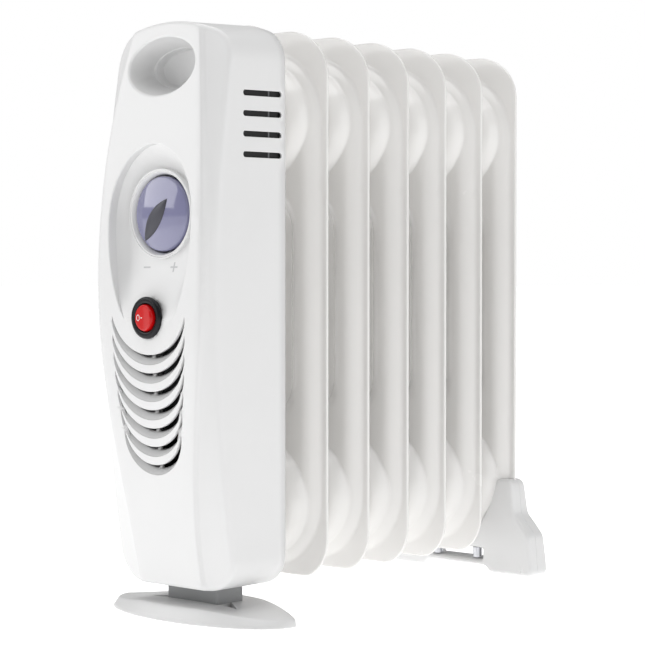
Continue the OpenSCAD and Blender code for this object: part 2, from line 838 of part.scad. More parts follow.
module front_foot() {
    flat = 27;
    tip = front_foot_w / 2;
    color("white") difference() {
        intersection() {
            linear_extrude(front_foot_h) front_foot_outline();
            along_y(foot_front_y - 5, foot_back_y + 5) polygon([
                [-tip - 5, 0], [tip + 5, 0], [tip + 5, front_foot_tip_h], [flat, front_foot_h],
                [-flat, front_foot_h], [-tip - 5, front_foot_tip_h]]);
        }
        both_sides() translate([pedestal_size[0] / 2, pedestal_y, front_foot_h - 4]) linear_extrude(5)
            polygon([[0, -pedestal_size[1] / 2 + 1], [16, 1 - pedestal_size[1] / 2], [0, 0]]);
        for (s = [-1, 1]) {
            rod_z(screw_r + seat_gap, -1, front_foot_h + 1, 0, pedestal_y + s * foot_screw_y);
            rod_z(head_r + seat_gap, -1, 4, 0, pedestal_y + s * foot_screw_y);
        }
    }
}

module foot_pedestal() {
    x = pedestal_size[0] / 2;
    y = pedestal_size[1] / 2;
    color("gray") difference() {
        slab([-x, x], [pedestal_y - y, pedestal_y + y], [front_foot_h, cover_bottom]);
        for (s = [-1, 1]) {
            rod_z(screw_r + seat_gap, front_foot_h - 1, cover_bottom + 1, s * pedestal_screw_x, pedestal_y);
            rod_z(head_r + seat_gap, front_foot_h - 1, front_foot_h + 4, s * pedestal_screw_x, pedestal_y);
            rod_z(screw_r, front_foot_h - 1, cover_bottom - 2, 0, pedestal_y + s * foot_screw_y);
        }
    }
}

module pedestal_screws() {
    nut_z = flange_z + plate_t;
    color("silver") for (x = [-pedestal_screw_x, pedestal_screw_x]) {
        rod_z(head_r, front_foot_h + 1.6, front_foot_h + 4, x, pedestal_y);
        rod_z(screw_r, front_foot_h + 4 - bite, nut_z + bite, x, pedestal_y);
        translate([x, pedestal_y, nut_z]) cylinder(r = nut_r, h = nut_h, $fn = 6);
    }
}

module foot_screws() {
    color("silver") for (s = [-1, 1]) {
        rod_z(head_r, 1.6, 4, 0, pedestal_y + s * foot_screw_y);
        rod_z(screw_r, 4 - bite, cover_bottom - 3, 0, pedestal_y + s * foot_screw_y);
    }
}

// Half outline of the rear foot, from under the middle out to one horn and back over the dome
function rear_foot_half() =
    let (w = rear_foot_w / 2, h = rear_foot_h, a1 = asin((h - 10 - low_z) / boss_clear_r))
    concat([[bar_hw + 1, bar_z[0]], [bar_hw + 6, 0], [w - 1.5, 0], [w, 2], [w - 2, 29], [w - 14.5, 43]],
           arc(w - 20.8, h - 5, 5, 0, 90, 4), arc(w - 25.5, h - 5, 5, 90, 150, 4),
           arc(0, low_z, boss_clear_r, a1, -90, 10));

module rear_foot_outline() {
    right = rear_foot_half();
    n = len(right);
    difference() {
        polygon(concat(right, [for (i = [n - 2:-1:0]) [-right[i][0], right[i][1]]]));
        translate([-bar_hw, bar_z[1]]) square([2 * bar_hw, bridge_z - bar_z[1]]);
    }
}

// The last fin's slot in the foot: half of it lies in each moulding
module clasp_slot() {
    along_y(last_fin_y - clasp_t, last_fin_y + clasp_t)
        polygon(fin_outline(-seat_gap));
}

// Room for the channels, where the horns reach up to them
module channel_room() {
    x = channel_w / 2 + 1;
    y = channel_bulge + 1;
    both_sides()
        slab([channel_x - x, channel_x + x], [last_fin_y - y, last_fin_y + y], [low_z - 0.2, fin_top]);
}

module rear_foot_front() {
    color("whitesmoke") difference() {
        along_y(rear_front_y, last_fin_y) rear_foot_outline();
        clasp_slot();
        channel_room();
        for (x = [-1, 1], p = screw_spots)
            rod_y(clasp_screw_r, last_fin_y - 6, last_fin_y + 1, x * p[0], p[1]);
        for (x = [-1, 1]) rod_z(screw_r, bridge_z - 1, bridge_z + 9, x * thumb_x, thumb_y);
    }
}

module rear_foot_back() {
    lean = rear_foot_d[1] - 8;
    color("whitesmoke") difference() {
        intersection() {
            along_y(last_fin_y, rear_back_y) rear_foot_outline();
            along_x(-rear_foot_w, rear_foot_w) polygon([
                [last_fin_y - 1, -1], [rear_back_y, -1], [rear_back_y, 12],
                [rear_back_y - lean, rear_foot_h + 1], [last_fin_y - 1, rear_foot_h + 1]]);
        }
        clasp_slot();
        channel_room();
        for (x = [-1, 1], p = screw_spots) {
            rod_y(clasp_screw_r + seat_gap, last_fin_y - 1, rear_back_y + 1, x * p[0], p[1]);
            rod_y(clasp_head_r + seat_gap, last_fin_y + 4, rear_back_y + 1, x * p[0], p[1]);
        }
    }
}

module rear_foot_screws() {
    color("silver") for (x = [-1, 1], p = screw_spots) {
        rod_y(clasp_screw_r, last_fin_y - 5, last_fin_y + 4 + bite, x * p[0], p[1]);
        rod_y(clasp_head_r, last_fin_y + 4, last_fin_y + 6, x * p[0], p[1]);
    }
}

module thumb_screws() {
    color("silver") for (x = [-1, 1]) {
        rod_z(3.2, bar_z[1] + 1, bridge_z, x * thumb_x, thumb_y);
        rod_z(screw_r, bridge_z - bite, bridge_z + 8, x * thumb_x, thumb_y);
    }
}

// ---------- assembly ----------

for (k = [1:fin_count]) fin(k);
front_header_cap();
rear_header_caps();
oil_fill_plug();
element_socket();
element_gasket();
element_plug();
heating_element();
element_terminals();
shield_standoffs();
heat_shield();
shield_screws();
thermal_cutout();
cutout_strap();
front_cover();
dial_ring();
thermostat_bracket();
bracket_screws();
thermostat_body();
thermostat_shaft();
control_knob();
knob_grip();
switch_body();
switch_rocker();
switch_lamp();
switch_contacts();
terminal_block();
earth_stud();
lead_switch();
lead_thermostat();
lead_element();
lead_earth();
cord_gland();
foot_pedestal();
pedestal_screws();
front_foot();
foot_screws();
rear_foot_front();
rear_foot_back();
rear_foot_screws();
thumb_screws();
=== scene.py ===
"""Looks of the oil filled radiator heater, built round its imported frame.

Shapes are worked out in millimetres and turned into metres where a mesh is made.
X runs across the heater, -Y is the control end and +Z is up.
"""

import json
import math

import bmesh
import bpy
import numpy as np
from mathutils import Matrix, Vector, geometry


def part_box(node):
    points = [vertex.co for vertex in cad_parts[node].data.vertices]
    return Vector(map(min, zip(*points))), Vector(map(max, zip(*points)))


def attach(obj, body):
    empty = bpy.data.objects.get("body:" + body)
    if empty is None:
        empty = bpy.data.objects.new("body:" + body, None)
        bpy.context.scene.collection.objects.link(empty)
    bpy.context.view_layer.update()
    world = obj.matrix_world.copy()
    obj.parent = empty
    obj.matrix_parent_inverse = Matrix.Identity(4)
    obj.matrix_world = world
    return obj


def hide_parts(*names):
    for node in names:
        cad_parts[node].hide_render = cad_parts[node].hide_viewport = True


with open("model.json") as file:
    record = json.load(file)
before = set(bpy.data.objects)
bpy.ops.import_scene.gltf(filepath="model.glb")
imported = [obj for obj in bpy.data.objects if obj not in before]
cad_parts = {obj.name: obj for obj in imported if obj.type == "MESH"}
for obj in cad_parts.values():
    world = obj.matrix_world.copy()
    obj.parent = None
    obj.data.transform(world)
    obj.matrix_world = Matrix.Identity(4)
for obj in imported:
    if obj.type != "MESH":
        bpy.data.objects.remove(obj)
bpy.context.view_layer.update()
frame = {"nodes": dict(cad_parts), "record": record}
MM = 0.001


# ---------- camera ----------

def make_camera():
    """A long lens at the height of the rocker switch, seeing the front and the right-hand side."""
    lens = bpy.data.cameras.new("camera")
    lens.lens = 107.94
    lens.sensor_width = 36
    lens.clip_start = 0.05
    camera = bpy.data.objects.new("camera", lens)
    bpy.context.scene.collection.objects.link(camera)
    camera.location = (0.8707, -0.9740, 0.2110)
    camera.rotation_euler = (math.radians(88.77), 0, math.radians(41.82))
    bpy.context.scene.camera = camera


make_camera()


# ---------- places read from the frame ----------

def box_mm(node):
    """Lowest and highest corner of a CAD node in millimetres."""
    low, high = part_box(node)
    return np.array(low) / MM, np.array(high) / MM


cover_low, cover_high = box_mm("front_cover")
rim_y, crest_y = cover_high[1], cover_low[1]
half_w, base_z, top_z = cover_high[0], cover_low[2], cover_high[2]
mid_z, half_h = (base_z + top_z) / 2, (top_z - base_z) / 2

fin_boxes = [box_mm(f"fin_{k}") for k in range(1, 8)]
fin_pitch = (fin_boxes[5][0][1] - fin_boxes[1][0][1]) / 4
fin_y = [(fin_boxes[1][0][1] + fin_boxes[1][1][1]) / 2 + (k - 1) * fin_pitch for k in range(7)]
fin_hw = fin_boxes[0][1][0]
fin_base, fin_top = fin_boxes[0][0][2], fin_boxes[0][1][2]
end_dome = fin_y[0] - fin_boxes[0][0][1]

ring_low, ring_high = box_mm("dial_ring")
dial_z, ring_r, ring_y = (ring_low[2] + ring_high[2]) / 2, ring_high[0], ring_low[1]
knob_low, knob_high = box_mm("control_knob")
knob_r = knob_high[0]
switch_low, switch_high = box_mm("switch_body")
rocker_z, bezel_r, bezel_y = (switch_low[2] + switch_high[2]) / 2, switch_high[0], switch_low[1]
foot_low, foot_high = box_mm("front_foot")
pedestal_low, pedestal_high = box_mm("foot_pedestal")
horn_low, horn_high = box_mm("rear_foot_front")
back_low, back_high = box_mm("rear_foot_back")


# ---------- mesh making ----------

def arc(cx, cy, rx, ry, a0, a1, n):
    """n points of an ellipse about (cx, cy), from angle a0 to angle a1 in degrees."""
    a = np.radians(np.linspace(a0, a1, n))
    return np.stack([cx + rx * np.cos(a), cy + ry * np.sin(a)], 1)


def grid_faces(rows, cols, wrap=False):
    """Quads between neighbouring points of a grid; wrap joins the last column to the first."""
    i, j = np.meshgrid(np.arange(rows - 1), np.arange(cols if wrap else cols - 1), indexing="ij")
    k = (j + 1) % cols
    return np.stack([i * cols + j, (i + 1) * cols + j, (i + 1) * cols + k, i * cols + k], -1).reshape(-1, 4)


def rings_part(rings, wrap=True):
    """A skin over a stack of rings that have the same number of points: points and quads."""
    rings = np.asarray(rings, float)
    return rings.reshape(-1, 3), grid_faces(rings.shape[0], rings.shape[1], wrap)


def inside(loop, points):
    """Even-odd test of points against a closed loop, all in one array."""
    x, y = points[:, 0][:, None], points[:, 1][:, None]
    x0, y0 = loop[:, 0][None], loop[:, 1][None]
    x1, y1 = np.roll(loop, -1, 0).T
    crosses = (y0 > y) != (y1[None] > y)
    with np.errstate(divide="ignore", invalid="ignore"):
        at = x0 + (y - y0) * (x1[None] - x0) / (y1[None] - y0)
    return (crosses & (x < at)).sum(1) % 2 == 1


def spaced(points, rings, gap):
    """The points that keep the gap from every point of the rings."""
    edge = np.concatenate(rings)
    near = np.hypot(points[:, 0][:, None] - edge[:, 0], points[:, 1][:, None] - edge[:, 1]).min(1)
    return points[near > gap]


def fill(loop, holes=(), inner=np.zeros((0, 2))):
    """Triangles that fill a loop and leave its holes open, steered by inner points."""
    rings = [loop, *holes]
    starts = np.cumsum([0] + [len(ring) for ring in rings])
    turns = [start + np.arange(len(ring)) for start, ring in zip(starts, rings)]
    edges = np.concatenate([np.stack([turn, np.roll(turn, -1)], 1) for turn in turns])
    plan = np.concatenate([*rings, inner])
    out = geometry.delaunay_2d_cdt(plan.tolist(), edges.tolist(), [], 0, 1e-6)
    points, faces = np.array(out[0]), np.array(out[2])
    centre = points[faces].mean(1)
    keep = inside(loop, centre)
    for hole in holes:
        keep &= ~inside(hole, centre)
    return points, faces[keep]


def field(loop, holes, step, lines=np.zeros((0, 2))):
    """Inner points for fill: an even field with a few lines of its own, clear of every edge."""
    low, high = loop.min(0), loop.max(0)
    x, y = np.meshgrid(np.arange(low[0], high[0], step), np.arange(low[1], high[1], step))
    points = np.stack([x.ravel(), y.ravel()], 1)
    if len(lines):
        points = spaced(points, [lines], 0.75 * step)
    points = np.concatenate([points, lines])
    keep = inside(loop, points)
    for hole in holes:
        keep &= ~inside(hole, points)
    return spaced(points[keep], [loop, *holes], 0.6 * step)


def outward(loop):
    """Unit normals of a loop that runs anticlockwise, pointing out of it."""
    along = np.roll(loop, -1, 0) - np.roll(loop, 1, 0)
    normal = np.stack([along[:, 1], -along[:, 0]], 1)
    return normal / np.maximum(np.linalg.norm(normal, axis=1, keepdims=True), 1e-9)


def edge_sharpness(mesh, part_of_face):
    """For each edge, whether it is already sharp or parts two faces that have different part numbers."""
    sizes, edge_of = np.empty(len(mesh.polygons), np.int32), np.empty(len(mesh.loops), np.int32)
    sharp = np.empty(len(mesh.edges), bool)
    mesh.polygons.foreach_get("loop_total", sizes)
    mesh.loops.foreach_get("edge_index", edge_of)
    mesh.edges.foreach_get("use_edge_sharp", sharp)
    part_of_corner = np.repeat(part_of_face, sizes)
    low, high = np.full(len(sharp), part_of_face.max()), np.zeros(len(sharp), np.int32)
    np.minimum.at(low, edge_of, part_of_corner)
    np.maximum.at(high, edge_of, part_of_corner)
    return sharp | (low != high)


def faces_away(mesh, front):
    """Whether the sum of the faces' normals, weighted by area, points away from the front direction."""
    normals, areas = np.empty((len(mesh.polygons), 3), np.float32), np.empty(len(mesh.polygons), np.float32)
    mesh.polygons.foreach_get("normal", normals.ravel())
    mesh.polygons.foreach_get("area", areas)
    return (normals * areas[:, None]).sum(0) @ np.array(front) < 0


def piece(name, parts, material, body="radiator", stands_for=(), sharp=40, front=None, wall=0, plain=()):
    """Joins parts, each of points and faces, into one mesh that rides on a body.

    Doubles are merged and faces turned outwards; front is a direction that an open skin faces, wall
    the thickness that a skin gets inwards, and plain the parts whose shading stops at their border.
    """
    starts = np.cumsum([0] + [len(points) for points, _ in parts])
    faces = []
    for start, (_, part) in zip(starts, parts):
        faces += (part + start).tolist()
    mesh = bpy.data.meshes.new(name)
    mesh.from_pydata((np.concatenate([points for points, _ in parts]) * MM).tolist(), [], faces)
    number = mesh.attributes.new("part", "INT", "FACE")
    number.data.foreach_set("value", np.repeat([1 + k if k in plain else 0 for k in range(len(parts))],
                                               [len(part) for _, part in parts]).astype(np.int32))
    bm = bmesh.new()
    bm.from_mesh(mesh)
    bmesh.ops.remove_doubles(bm, verts=bm.verts, dist=2e-6)
    bmesh.ops.dissolve_degenerate(bm, edges=bm.edges, dist=1e-6)
    bmesh.ops.recalc_face_normals(bm, faces=bm.faces)
    bm.to_mesh(mesh)
    bm.free()
    if front is not None and faces_away(mesh, front):
        mesh.flip_normals()
    mesh.polygons.foreach_set("use_smooth", np.ones(len(mesh.polygons), bool))
    mesh.set_sharp_from_angle(angle=math.radians(sharp))
    part_of_face = np.empty(len(mesh.polygons), np.int32)
    mesh.attributes["part"].data.foreach_get("value", part_of_face)
    mesh.edges.foreach_set("use_edge_sharp", edge_sharpness(mesh, part_of_face))
    mesh.attributes.remove(mesh.attributes["part"])
    mesh.materials.append(material)
    obj = bpy.data.objects.new(name, mesh)
    bpy.context.scene.collection.objects.link(obj)
    if wall:
        solidify = obj.modifiers.new("wall", "SOLIDIFY")
        solidify.thickness = wall * MM
        solidify.offset = -1
    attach(obj, body)
    if stands_for:
        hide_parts(*stands_for)


def turned(profile, x, z, n=96):
    """A surface turned about a line along Y through (x, z); the profile is radius against y."""
    radius, y = np.asarray(profile, float).T
    a = np.linspace(0, 2 * np.pi, n, endpoint=False)
    rings = np.stack([x + radius[:, None] * np.cos(a), np.repeat(y[:, None], n, 1),
                      z + radius[:, None] * np.sin(a)], -1)
    return rings_part(rings)


def corner(r0, y0, r1, y1, r2, y2, n=6):
    """A soft corner in a profile: a curve from point 0 to point 2 that heads for point 1 at both ends."""
    t = np.linspace(0, 1, n)[:, None]
    p0, p1, p2 = np.array([r0, y0]), np.array([r1, y1]), np.array([r2, y2])
    return (1 - t) ** 2 * p0 + 2 * t * (1 - t) * p1 + t ** 2 * p2


def ease(t):
    """Smooth step from 0 to 1."""
    t = np.clip(t, 0, 1)
    return t * t * (3 - 2 * t)


# ---------- materials ----------

def finish(name, colour, rough, grain=900.0, bump=0.02, tone=0.03, patch=14.0, spread=0.06, **sockets):
    """A surface whose fine grain, slow change of tone and patches of gloss come from noise.

    grain is the noise's scale per metre, bump its height in millimetres, tone how far the colour
    wanders and spread how far the roughness does; sockets are set on the shader as they are.
    """
    material = bpy.data.materials.new(name)
    material.use_nodes = True
    nodes, links = material.node_tree.nodes, material.node_tree.links
    shader = nodes["Principled BSDF"]
    place = nodes.new("ShaderNodeTexCoord")
    fine = nodes.new("ShaderNodeTexNoise")
    fine.inputs["Scale"].default_value = grain
    fine.inputs["Detail"].default_value = 3
    slow = nodes.new("ShaderNodeTexNoise")
    slow.inputs["Scale"].default_value = patch
    slow.inputs["Detail"].default_value = 5
    slow.inputs["Roughness"].default_value = 0.6
    for noise in (fine, slow):
        links.new(place.outputs["Object"], noise.inputs["Vector"])
    relief = nodes.new("ShaderNodeBump")
    relief.inputs["Strength"].default_value = 1
    relief.inputs["Distance"].default_value = bump * MM
    links.new(fine.outputs["Fac"], relief.inputs["Height"])
    links.new(relief.outputs["Normal"], shader.inputs["Normal"])
    tint = nodes.new("ShaderNodeMix")
    tint.data_type = "RGBA"
    tint.inputs["A"].default_value = (*[c * (1 - tone) for c in colour], 1)
    tint.inputs["B"].default_value = (*[min(1, c * (1 + tone)) for c in colour], 1)
    links.new(slow.outputs["Fac"], tint.inputs["Factor"])
    links.new(tint.outputs["Result"], shader.inputs["Base Color"])
    gloss = nodes.new("ShaderNodeMapRange")
    gloss.inputs["From Min"].default_value = 0.3
    gloss.inputs["From Max"].default_value = 0.7
    gloss.inputs["To Min"].default_value = max(0.02, rough - spread)
    gloss.inputs["To Max"].default_value = rough + spread
    links.new(slow.outputs["Fac"], gloss.inputs["Value"])
    links.new(gloss.outputs["Result"], shader.inputs["Roughness"])
    for socket, value in sockets.items():
        shader.inputs[socket.replace("_", " ")].default_value = value
    return material


FINISHES = {
    "fin_enamel": finish("fin_enamel", (0.80, 0.79, 0.775), 0.22, grain=260, bump=0.012, Coat_Weight=0.5,
                         Coat_Roughness=0.08),
    "white_plastic": finish("housing_white", (0.74, 0.74, 0.74), 0.34, grain=1500, bump=0.012),
    "zinc_steel": finish("zinc_plate", (0.60, 0.61, 0.64), 0.34, Metallic=1.0, tone=0.1),
    # The heat shield's sheet is coloured dark as painted shade, so the inside of the housing reads dark
    # through its openings.
    "shield_steel": finish("shield_sheet_painted_shade", (0.20, 0.20, 0.21), 0.55, Metallic=0.6, tone=0.12, patch=60),
    "brass_plug": finish("brass", (0.72, 0.50, 0.20), 0.3, Metallic=1.0, tone=0.1),
    "element_sheath": finish("element_sheath", (0.25, 0.22, 0.20), 0.55, Metallic=0.8, tone=0.2),
    "black_rubber": finish("black_rubber", (0.02, 0.02, 0.02), 0.7),
    "black_plastic": finish("switch_black", (0.006, 0.006, 0.008), 0.25, grain=1200, bump=0.01,
                            Specular_IOR_Level=0.25),
    "tan_plastic": finish("phenolic", (0.45, 0.33, 0.18), 0.6, tone=0.15, patch=120),
    "knob_plastic": finish("knob_lavender", (0.20, 0.20, 0.33), 0.12, grain=700, bump=0.004, Coat_Weight=1.0,
                           Coat_Roughness=0.03),
    "grip_plastic": finish("grip_charcoal", (0.045, 0.045, 0.06), 0.4, grain=1400, bump=0.015),
    "red_plastic": finish("rocker_red", (0.55, 0.002, 0.003), 0.2, grain=900, bump=0.006,
                          Specular_IOR_Level=0.35),
    "lamp_glass": finish("lamp_glass", (0.9, 0.35, 0.1), 0.1, Transmission_Weight=0.6),
    "lead_sleeve": finish("lead_sleeve", (0.10, 0.10, 0.12), 0.5, tone=0.1),
    # The pedestal's colour is light grey plastic darkened further as painted shade from the housing above it.
    "grey_plastic": finish("pedestal_grey_painted_shade", (0.30, 0.305, 0.31), 0.42, grain=1300, bump=0.02),
}
white_mark = finish("print_white", (0.85, 0.85, 0.85), 0.4)
grey_mark = finish("print_grey", (0.52, 0.52, 0.53), 0.5)


def dress_cad_nodes():
    """Every CAD node takes the finish of its own slot in the record."""
    for row in frame["record"]["subparts"]:
        mesh = frame["nodes"][row["node"]].data
        mesh.materials.clear()
        mesh.materials.append(FINISHES[row["material_slot"]])


dress_cad_nodes()


# ---------- fins ----------

sheet_t = 1.1
low_z, high_z = fin_base + 49.5, fin_top - 58.5
CHAMBER_HW = 44.2
PANEL_HW = 18.5
PANEL_ENDS = (low_z + 57.5, high_z - 52)
CHANNEL_RISE = 7.0
DOME_R, NECK_R = 37.5, 20.0
SEAM = 1.0


def fin_loop(e):
    """A fin's outline drawn in by e: wide elliptical corners at the top and smaller ones below."""
    x0, rx0, rz0 = fin_hw - 21.5, 21.5 - e, 26 - e
    x1, rx1, rz1 = fin_hw - 35.5, 35.5 - e, 31 - e
    z0, z1 = fin_base + 26, fin_top - 31
    side = np.linspace(z0, z1, 80)[1:-1]
    right = np.concatenate([arc(x0, z0, rx0, rz0, -90, 0, 20),
                            np.stack([np.full_like(side, fin_hw - e), side], 1),
                            arc(x1, z1, rx1, rz1, 0, 90, 28)])
    top = np.stack([np.linspace(x1, -x1, 12), np.full(12, fin_top - e)], 1)[1:-1]
    foot = np.stack([np.linspace(-x0, x0, 20), np.full(20, fin_base + e)], 1)[1:-1]
    return np.concatenate([right, top, right[::-1] * (-1, 1), foot])


def fin_relief(x, z, dome_depth):
    """How far a pressed sheet stands proud of its flange.

    The oil chamber rises inside a racetrack contour, is pinched flat round a long middle panel, and
    swells into a round dome at each header, whose profile is a superellipse against radius.
    """
    outer = CHAMBER_HW - np.hypot(x, z - np.clip(z, low_z, high_z))
    ends = (PANEL_ENDS[0] + PANEL_HW, PANEL_ENDS[1] - PANEL_HW)
    inner = np.hypot(x, z - np.clip(z, *ends)) - PANEL_HW
    side = np.clip(np.minimum(outer, inner) / 12.2, 0, 1)
    relief = CHANNEL_RISE * np.sin(np.pi / 2 * side) ** 0.9
    for z_header in (low_z, high_z):
        t = (np.hypot(x, z - z_header) - NECK_R) / (DOME_R - NECK_R)
        dome = (dome_depth - sheet_t) * (1 - np.clip(t, 0, 1) ** 2.6) ** (1 / 2.6) - 25 * np.clip(t - 1, 0, 1)
        relief = np.maximum(relief, dome) + np.clip(4 - np.abs(relief - dome), 0, 4) ** 2 / 16
    return relief


def sheet_plan():
    """Flat plan of one sheet: two polar patches round the headers and a plain one between them."""
    loop = fin_loop(SEAM)
    split = (low_z + 46, high_z - 46)
    columns = np.linspace(-fin_hw + SEAM, fin_hw - SEAM, 67)
    radii = np.concatenate([[0, 9], np.linspace(NECK_R, 30, 6), np.linspace(31, DOME_R + 1, 14)])
    stretch = np.linspace(0, 1, 13)[1:, None, None]
    plans = []
    for z_header, cut, keep in ((high_z, split[1], loop[:, 1] > split[1] + 0.5),
                                (low_z, split[0], loop[:, 1] < split[0] - 0.5)):
        rim = loop[keep]
        rim = rim[np.argsort(np.arctan2(rim[:, 1] - z_header, rim[:, 0]) % (2 * np.pi))]
        line = np.stack([columns, np.full_like(columns, cut)], 1)
        target = np.concatenate([rim, line])
        angle = np.arctan2(target[:, 1] - z_header, target[:, 0]) % (2 * np.pi)
        target = target[np.argsort(angle)]
        aim = target - (0, z_header)
        aim /= np.linalg.norm(aim, axis=1, keepdims=True)
        round_part = (0, z_header) + radii[:, None, None] * aim
        reach = round_part[-1] + stretch * (target - round_part[-1])
        plan = np.concatenate([round_part, reach])
        plans.append((plan, True))
    rows = np.linspace(*split, 52)
    x, z = np.meshgrid(columns, rows)
    plans.append((np.stack([x, z], -1), False))
    return plans


def fin_side(plans, y, side, dome_depth):
    """One sheet of a fin: the plan lifted by its relief, towards the front (-1) or the back (1)."""
    parts = []
    for plan, wrap in plans:
        x, z = plan[..., 0], plan[..., 1]
        level = y + side * (sheet_t + fin_relief(x, z, dome_depth))
        parts.append(rings_part(np.stack([x, level, z], -1), wrap))
    return parts


def seam_edge(y):
    """The welded seam round a fin: a rounded edge from one sheet to the other."""
    rings = []
    for a in np.radians(np.linspace(-90, 90, 9)):
        loop = fin_loop(SEAM * (1 - math.cos(a)))
        rings.append(np.stack([loop[:, 0], np.full(len(loop), y + sheet_t * math.sin(a)), loop[:, 1]], 1))
    return rings_part(rings)


def build_fins():
    """Seven welded fins; the first and the last have shallow domes on their outer side."""
    plans = sheet_plan()
    full = fin_pitch / 2 - 0.08
    for k, y in enumerate(fin_y):
        front = end_dome if k == 0 else full
        back = end_dome if k == 6 else full
        parts = fin_side(plans, y, -1, front) + fin_side(plans, y, 1, back) + [seam_edge(y)]
        piece(f"pressed_fin_{k + 1}", parts, FINISHES["fin_enamel"],
              stands_for=[f"fin_{k + 1}"], sharp=60)


build_fins()


# ---------- control housing ----------

EDGE_DEPTH, EDGE_BOW, CREST_LIFT = 43.5, 16.6, 10.0
CORNER_R, LOW_R, HIGH_R, CROWN_R = 2.6, 20.0, 22.0, 110.0
WIDEST_Z = base_z + 196
STEP = 1.5
WALL = 2.0
DISH_HW, DISH_MID, DISH_TOP, DISH_LOW = 36.5, dial_z - 3.5, dial_z + 43.5, dial_z - 79
DISH_START, DISH_KNEE_Z, DISH_FLOOR_Y = rocker_z - 1.4, dial_z - ring_r - 1, ring_y + 2.6
POCKET_Z, POCKET_RX, POCKET_RZ, POCKET_DEPTH = top_z - 28.5, 29.0, 18.5, 27.0
SWITCH_HOLE_R = 10.8
COLLAR_HOLE_R = 26.0
LOUVRES, LOUVRE_PITCH = 7, 11.35
VENTS, VENT_PITCH, VENT_TOP, VENT_MID_Y = 4, 12.65, top_z - 47, rim_y - 20.2
VENT_LIP = 0.4
# Heights of the black painted-shade sheet behind the side vents.
SHADE_SHEET_LOW_Z, SHADE_SHEET_HIGH_Z = top_z - 92, top_z - 40


def bow(z):
    """1 at the housing's middle height, 0 at its foot and its top."""
    return 1 - ((z - mid_z) / half_h) ** 2


def edge_y(z):
    """Depth of the corner edge between the front and the sides."""
    return rim_y - EDGE_DEPTH - EDGE_BOW * bow(z)


def crest(z):
    """Depth of the raised middle of the front, which leans out a little more towards its top."""
    up = np.clip((z - mid_z) / half_h, 0, 1)
    return edge_y(z) - CREST_LIFT * (0.7 + 0.3 * bow(z)) - 2.5 * up ** 2


def crease_x(z):
    """Half the width of the raised middle: a slow swell below, a quicker narrowing above."""
    low = half_w - 23 + 18.1 * (1 - np.cos(np.pi * (z - base_z) / (WIDEST_Z - base_z))) / 2
    high = half_w - 4.9 - 17.5 * ((z - WIDEST_Z) / (top_z - WIDEST_Z)) ** 2
    return np.where(z < WIDEST_Z, low, high)


def face_y(x, z):
    """The front: flat in the middle, a small soft step at the crease, then a slope to the corner edge."""
    c = crease_x(z)
    past = np.abs(x) - c
    slope = np.clip(past, 0, None) / (half_w - c)
    drop = edge_y(z) - crest(z) - STEP
    return crest(z) + STEP * ease(past / 2.4) + drop * slope


def housing_loop(e):
    """The housing's outline drawn in by e: foot corners, straight sides, top corners and a crown."""
    x0, z0 = half_w - LOW_R, base_z + LOW_R
    x1, crown_z = half_w - HIGH_R, top_z - CROWN_R
    z1 = crown_z + math.sqrt((CROWN_R - HIGH_R) ** 2 - x1 ** 2)
    a = math.degrees(math.atan2(z1 - crown_z, x1))
    side = np.linspace(z0, z1, 90)[1:-1]
    right = np.concatenate([arc(x0, z0, LOW_R - e, LOW_R - e, -90, 0, 16),
                            np.stack([np.full_like(side, half_w - e), side], 1),
                            arc(x1, z1, HIGH_R - e, HIGH_R - e, 0, a, 18),
                            arc(0, crown_z, CROWN_R - e, CROWN_R - e, a, 90, 14)[1:]])
    left = right[::-1][1:] * (-1, 1)
    foot = np.stack([np.linspace(-x0, x0, 22), np.full(22, base_z + e)], 1)[1:-1]
    return np.concatenate([right, left, foot])


def lift(loop, y):
    """A flat loop in X and Z set at depths y."""
    return np.stack([loop[:, 0], np.broadcast_to(y, len(loop)), loop[:, 1]], 1)


def rolled_lip(loop, radius):
    """Rings of a rounded lip that turns from the face into a hole; loop is the hole's own outline."""
    normal = outward(loop)
    radius = np.broadcast_to(radius, len(loop))[:, None]
    rings = []
    for a in np.radians(np.linspace(0, 90, 6)):
        at = loop + normal * radius * (1 - math.sin(a))
        rings.append(lift(at, face_y(*at.T) + radius[:, 0] * (1 - math.cos(a))))
    return rings


def flat(ring):
    """The X and Z of a ring."""
    return ring[:, [0, 2]]


def dish_floor(z):
    """Depth of the dish's floor: a ramp from its foot to the dial, then a steeper back wall."""
    ramp = (z - DISH_START) / (DISH_KNEE_Z - DISH_START)
    low = crest_y + (DISH_FLOOR_Y - crest_y) * ramp
    high = DISH_FLOOR_Y + 2.8 * (z - DISH_KNEE_Z) / (DISH_TOP + 10 - DISH_KNEE_Z)
    return -np.logaddexp(-low / 1.5, -high / 1.5) * 1.5


def dish_depth(z):
    """Depth of the dish's floor behind the face: nothing at its foot, most at its top."""
    return np.clip(dish_floor(z) - crest(z), 0, None)


def dish_share(x, z):
    """0 at the dish's outline and 1 at its middle."""
    reach = np.where(z > DISH_MID, DISH_TOP - DISH_MID, DISH_MID - DISH_LOW)
    return 1 - np.hypot(x / DISH_HW, (z - DISH_MID) / reach)


def dish_y(x, z):
    """The dish: an upright lip, then a soft bowl that eases into the floor."""
    return crest(z) + dish_depth(z) * (0.5 + 0.5 * np.sin(np.pi / 2 * np.clip(dish_share(x, z) / 0.22, 0, 1)))


def dish_arc():
    """The egg-shaped edge of the dish from its right-hand corner over the top to its left-hand one."""
    reach = DISH_MID - DISH_LOW
    a0 = math.degrees(math.asin((DISH_START - DISH_MID) / reach))
    low = arc(0, DISH_MID, DISH_HW, reach, a0, 0, 34)
    top = arc(0, DISH_MID, DISH_HW, DISH_TOP - DISH_MID, 0, 180, 70)
    return np.concatenate([low, top[1:-1], low[::-1] * (-1, 1)])


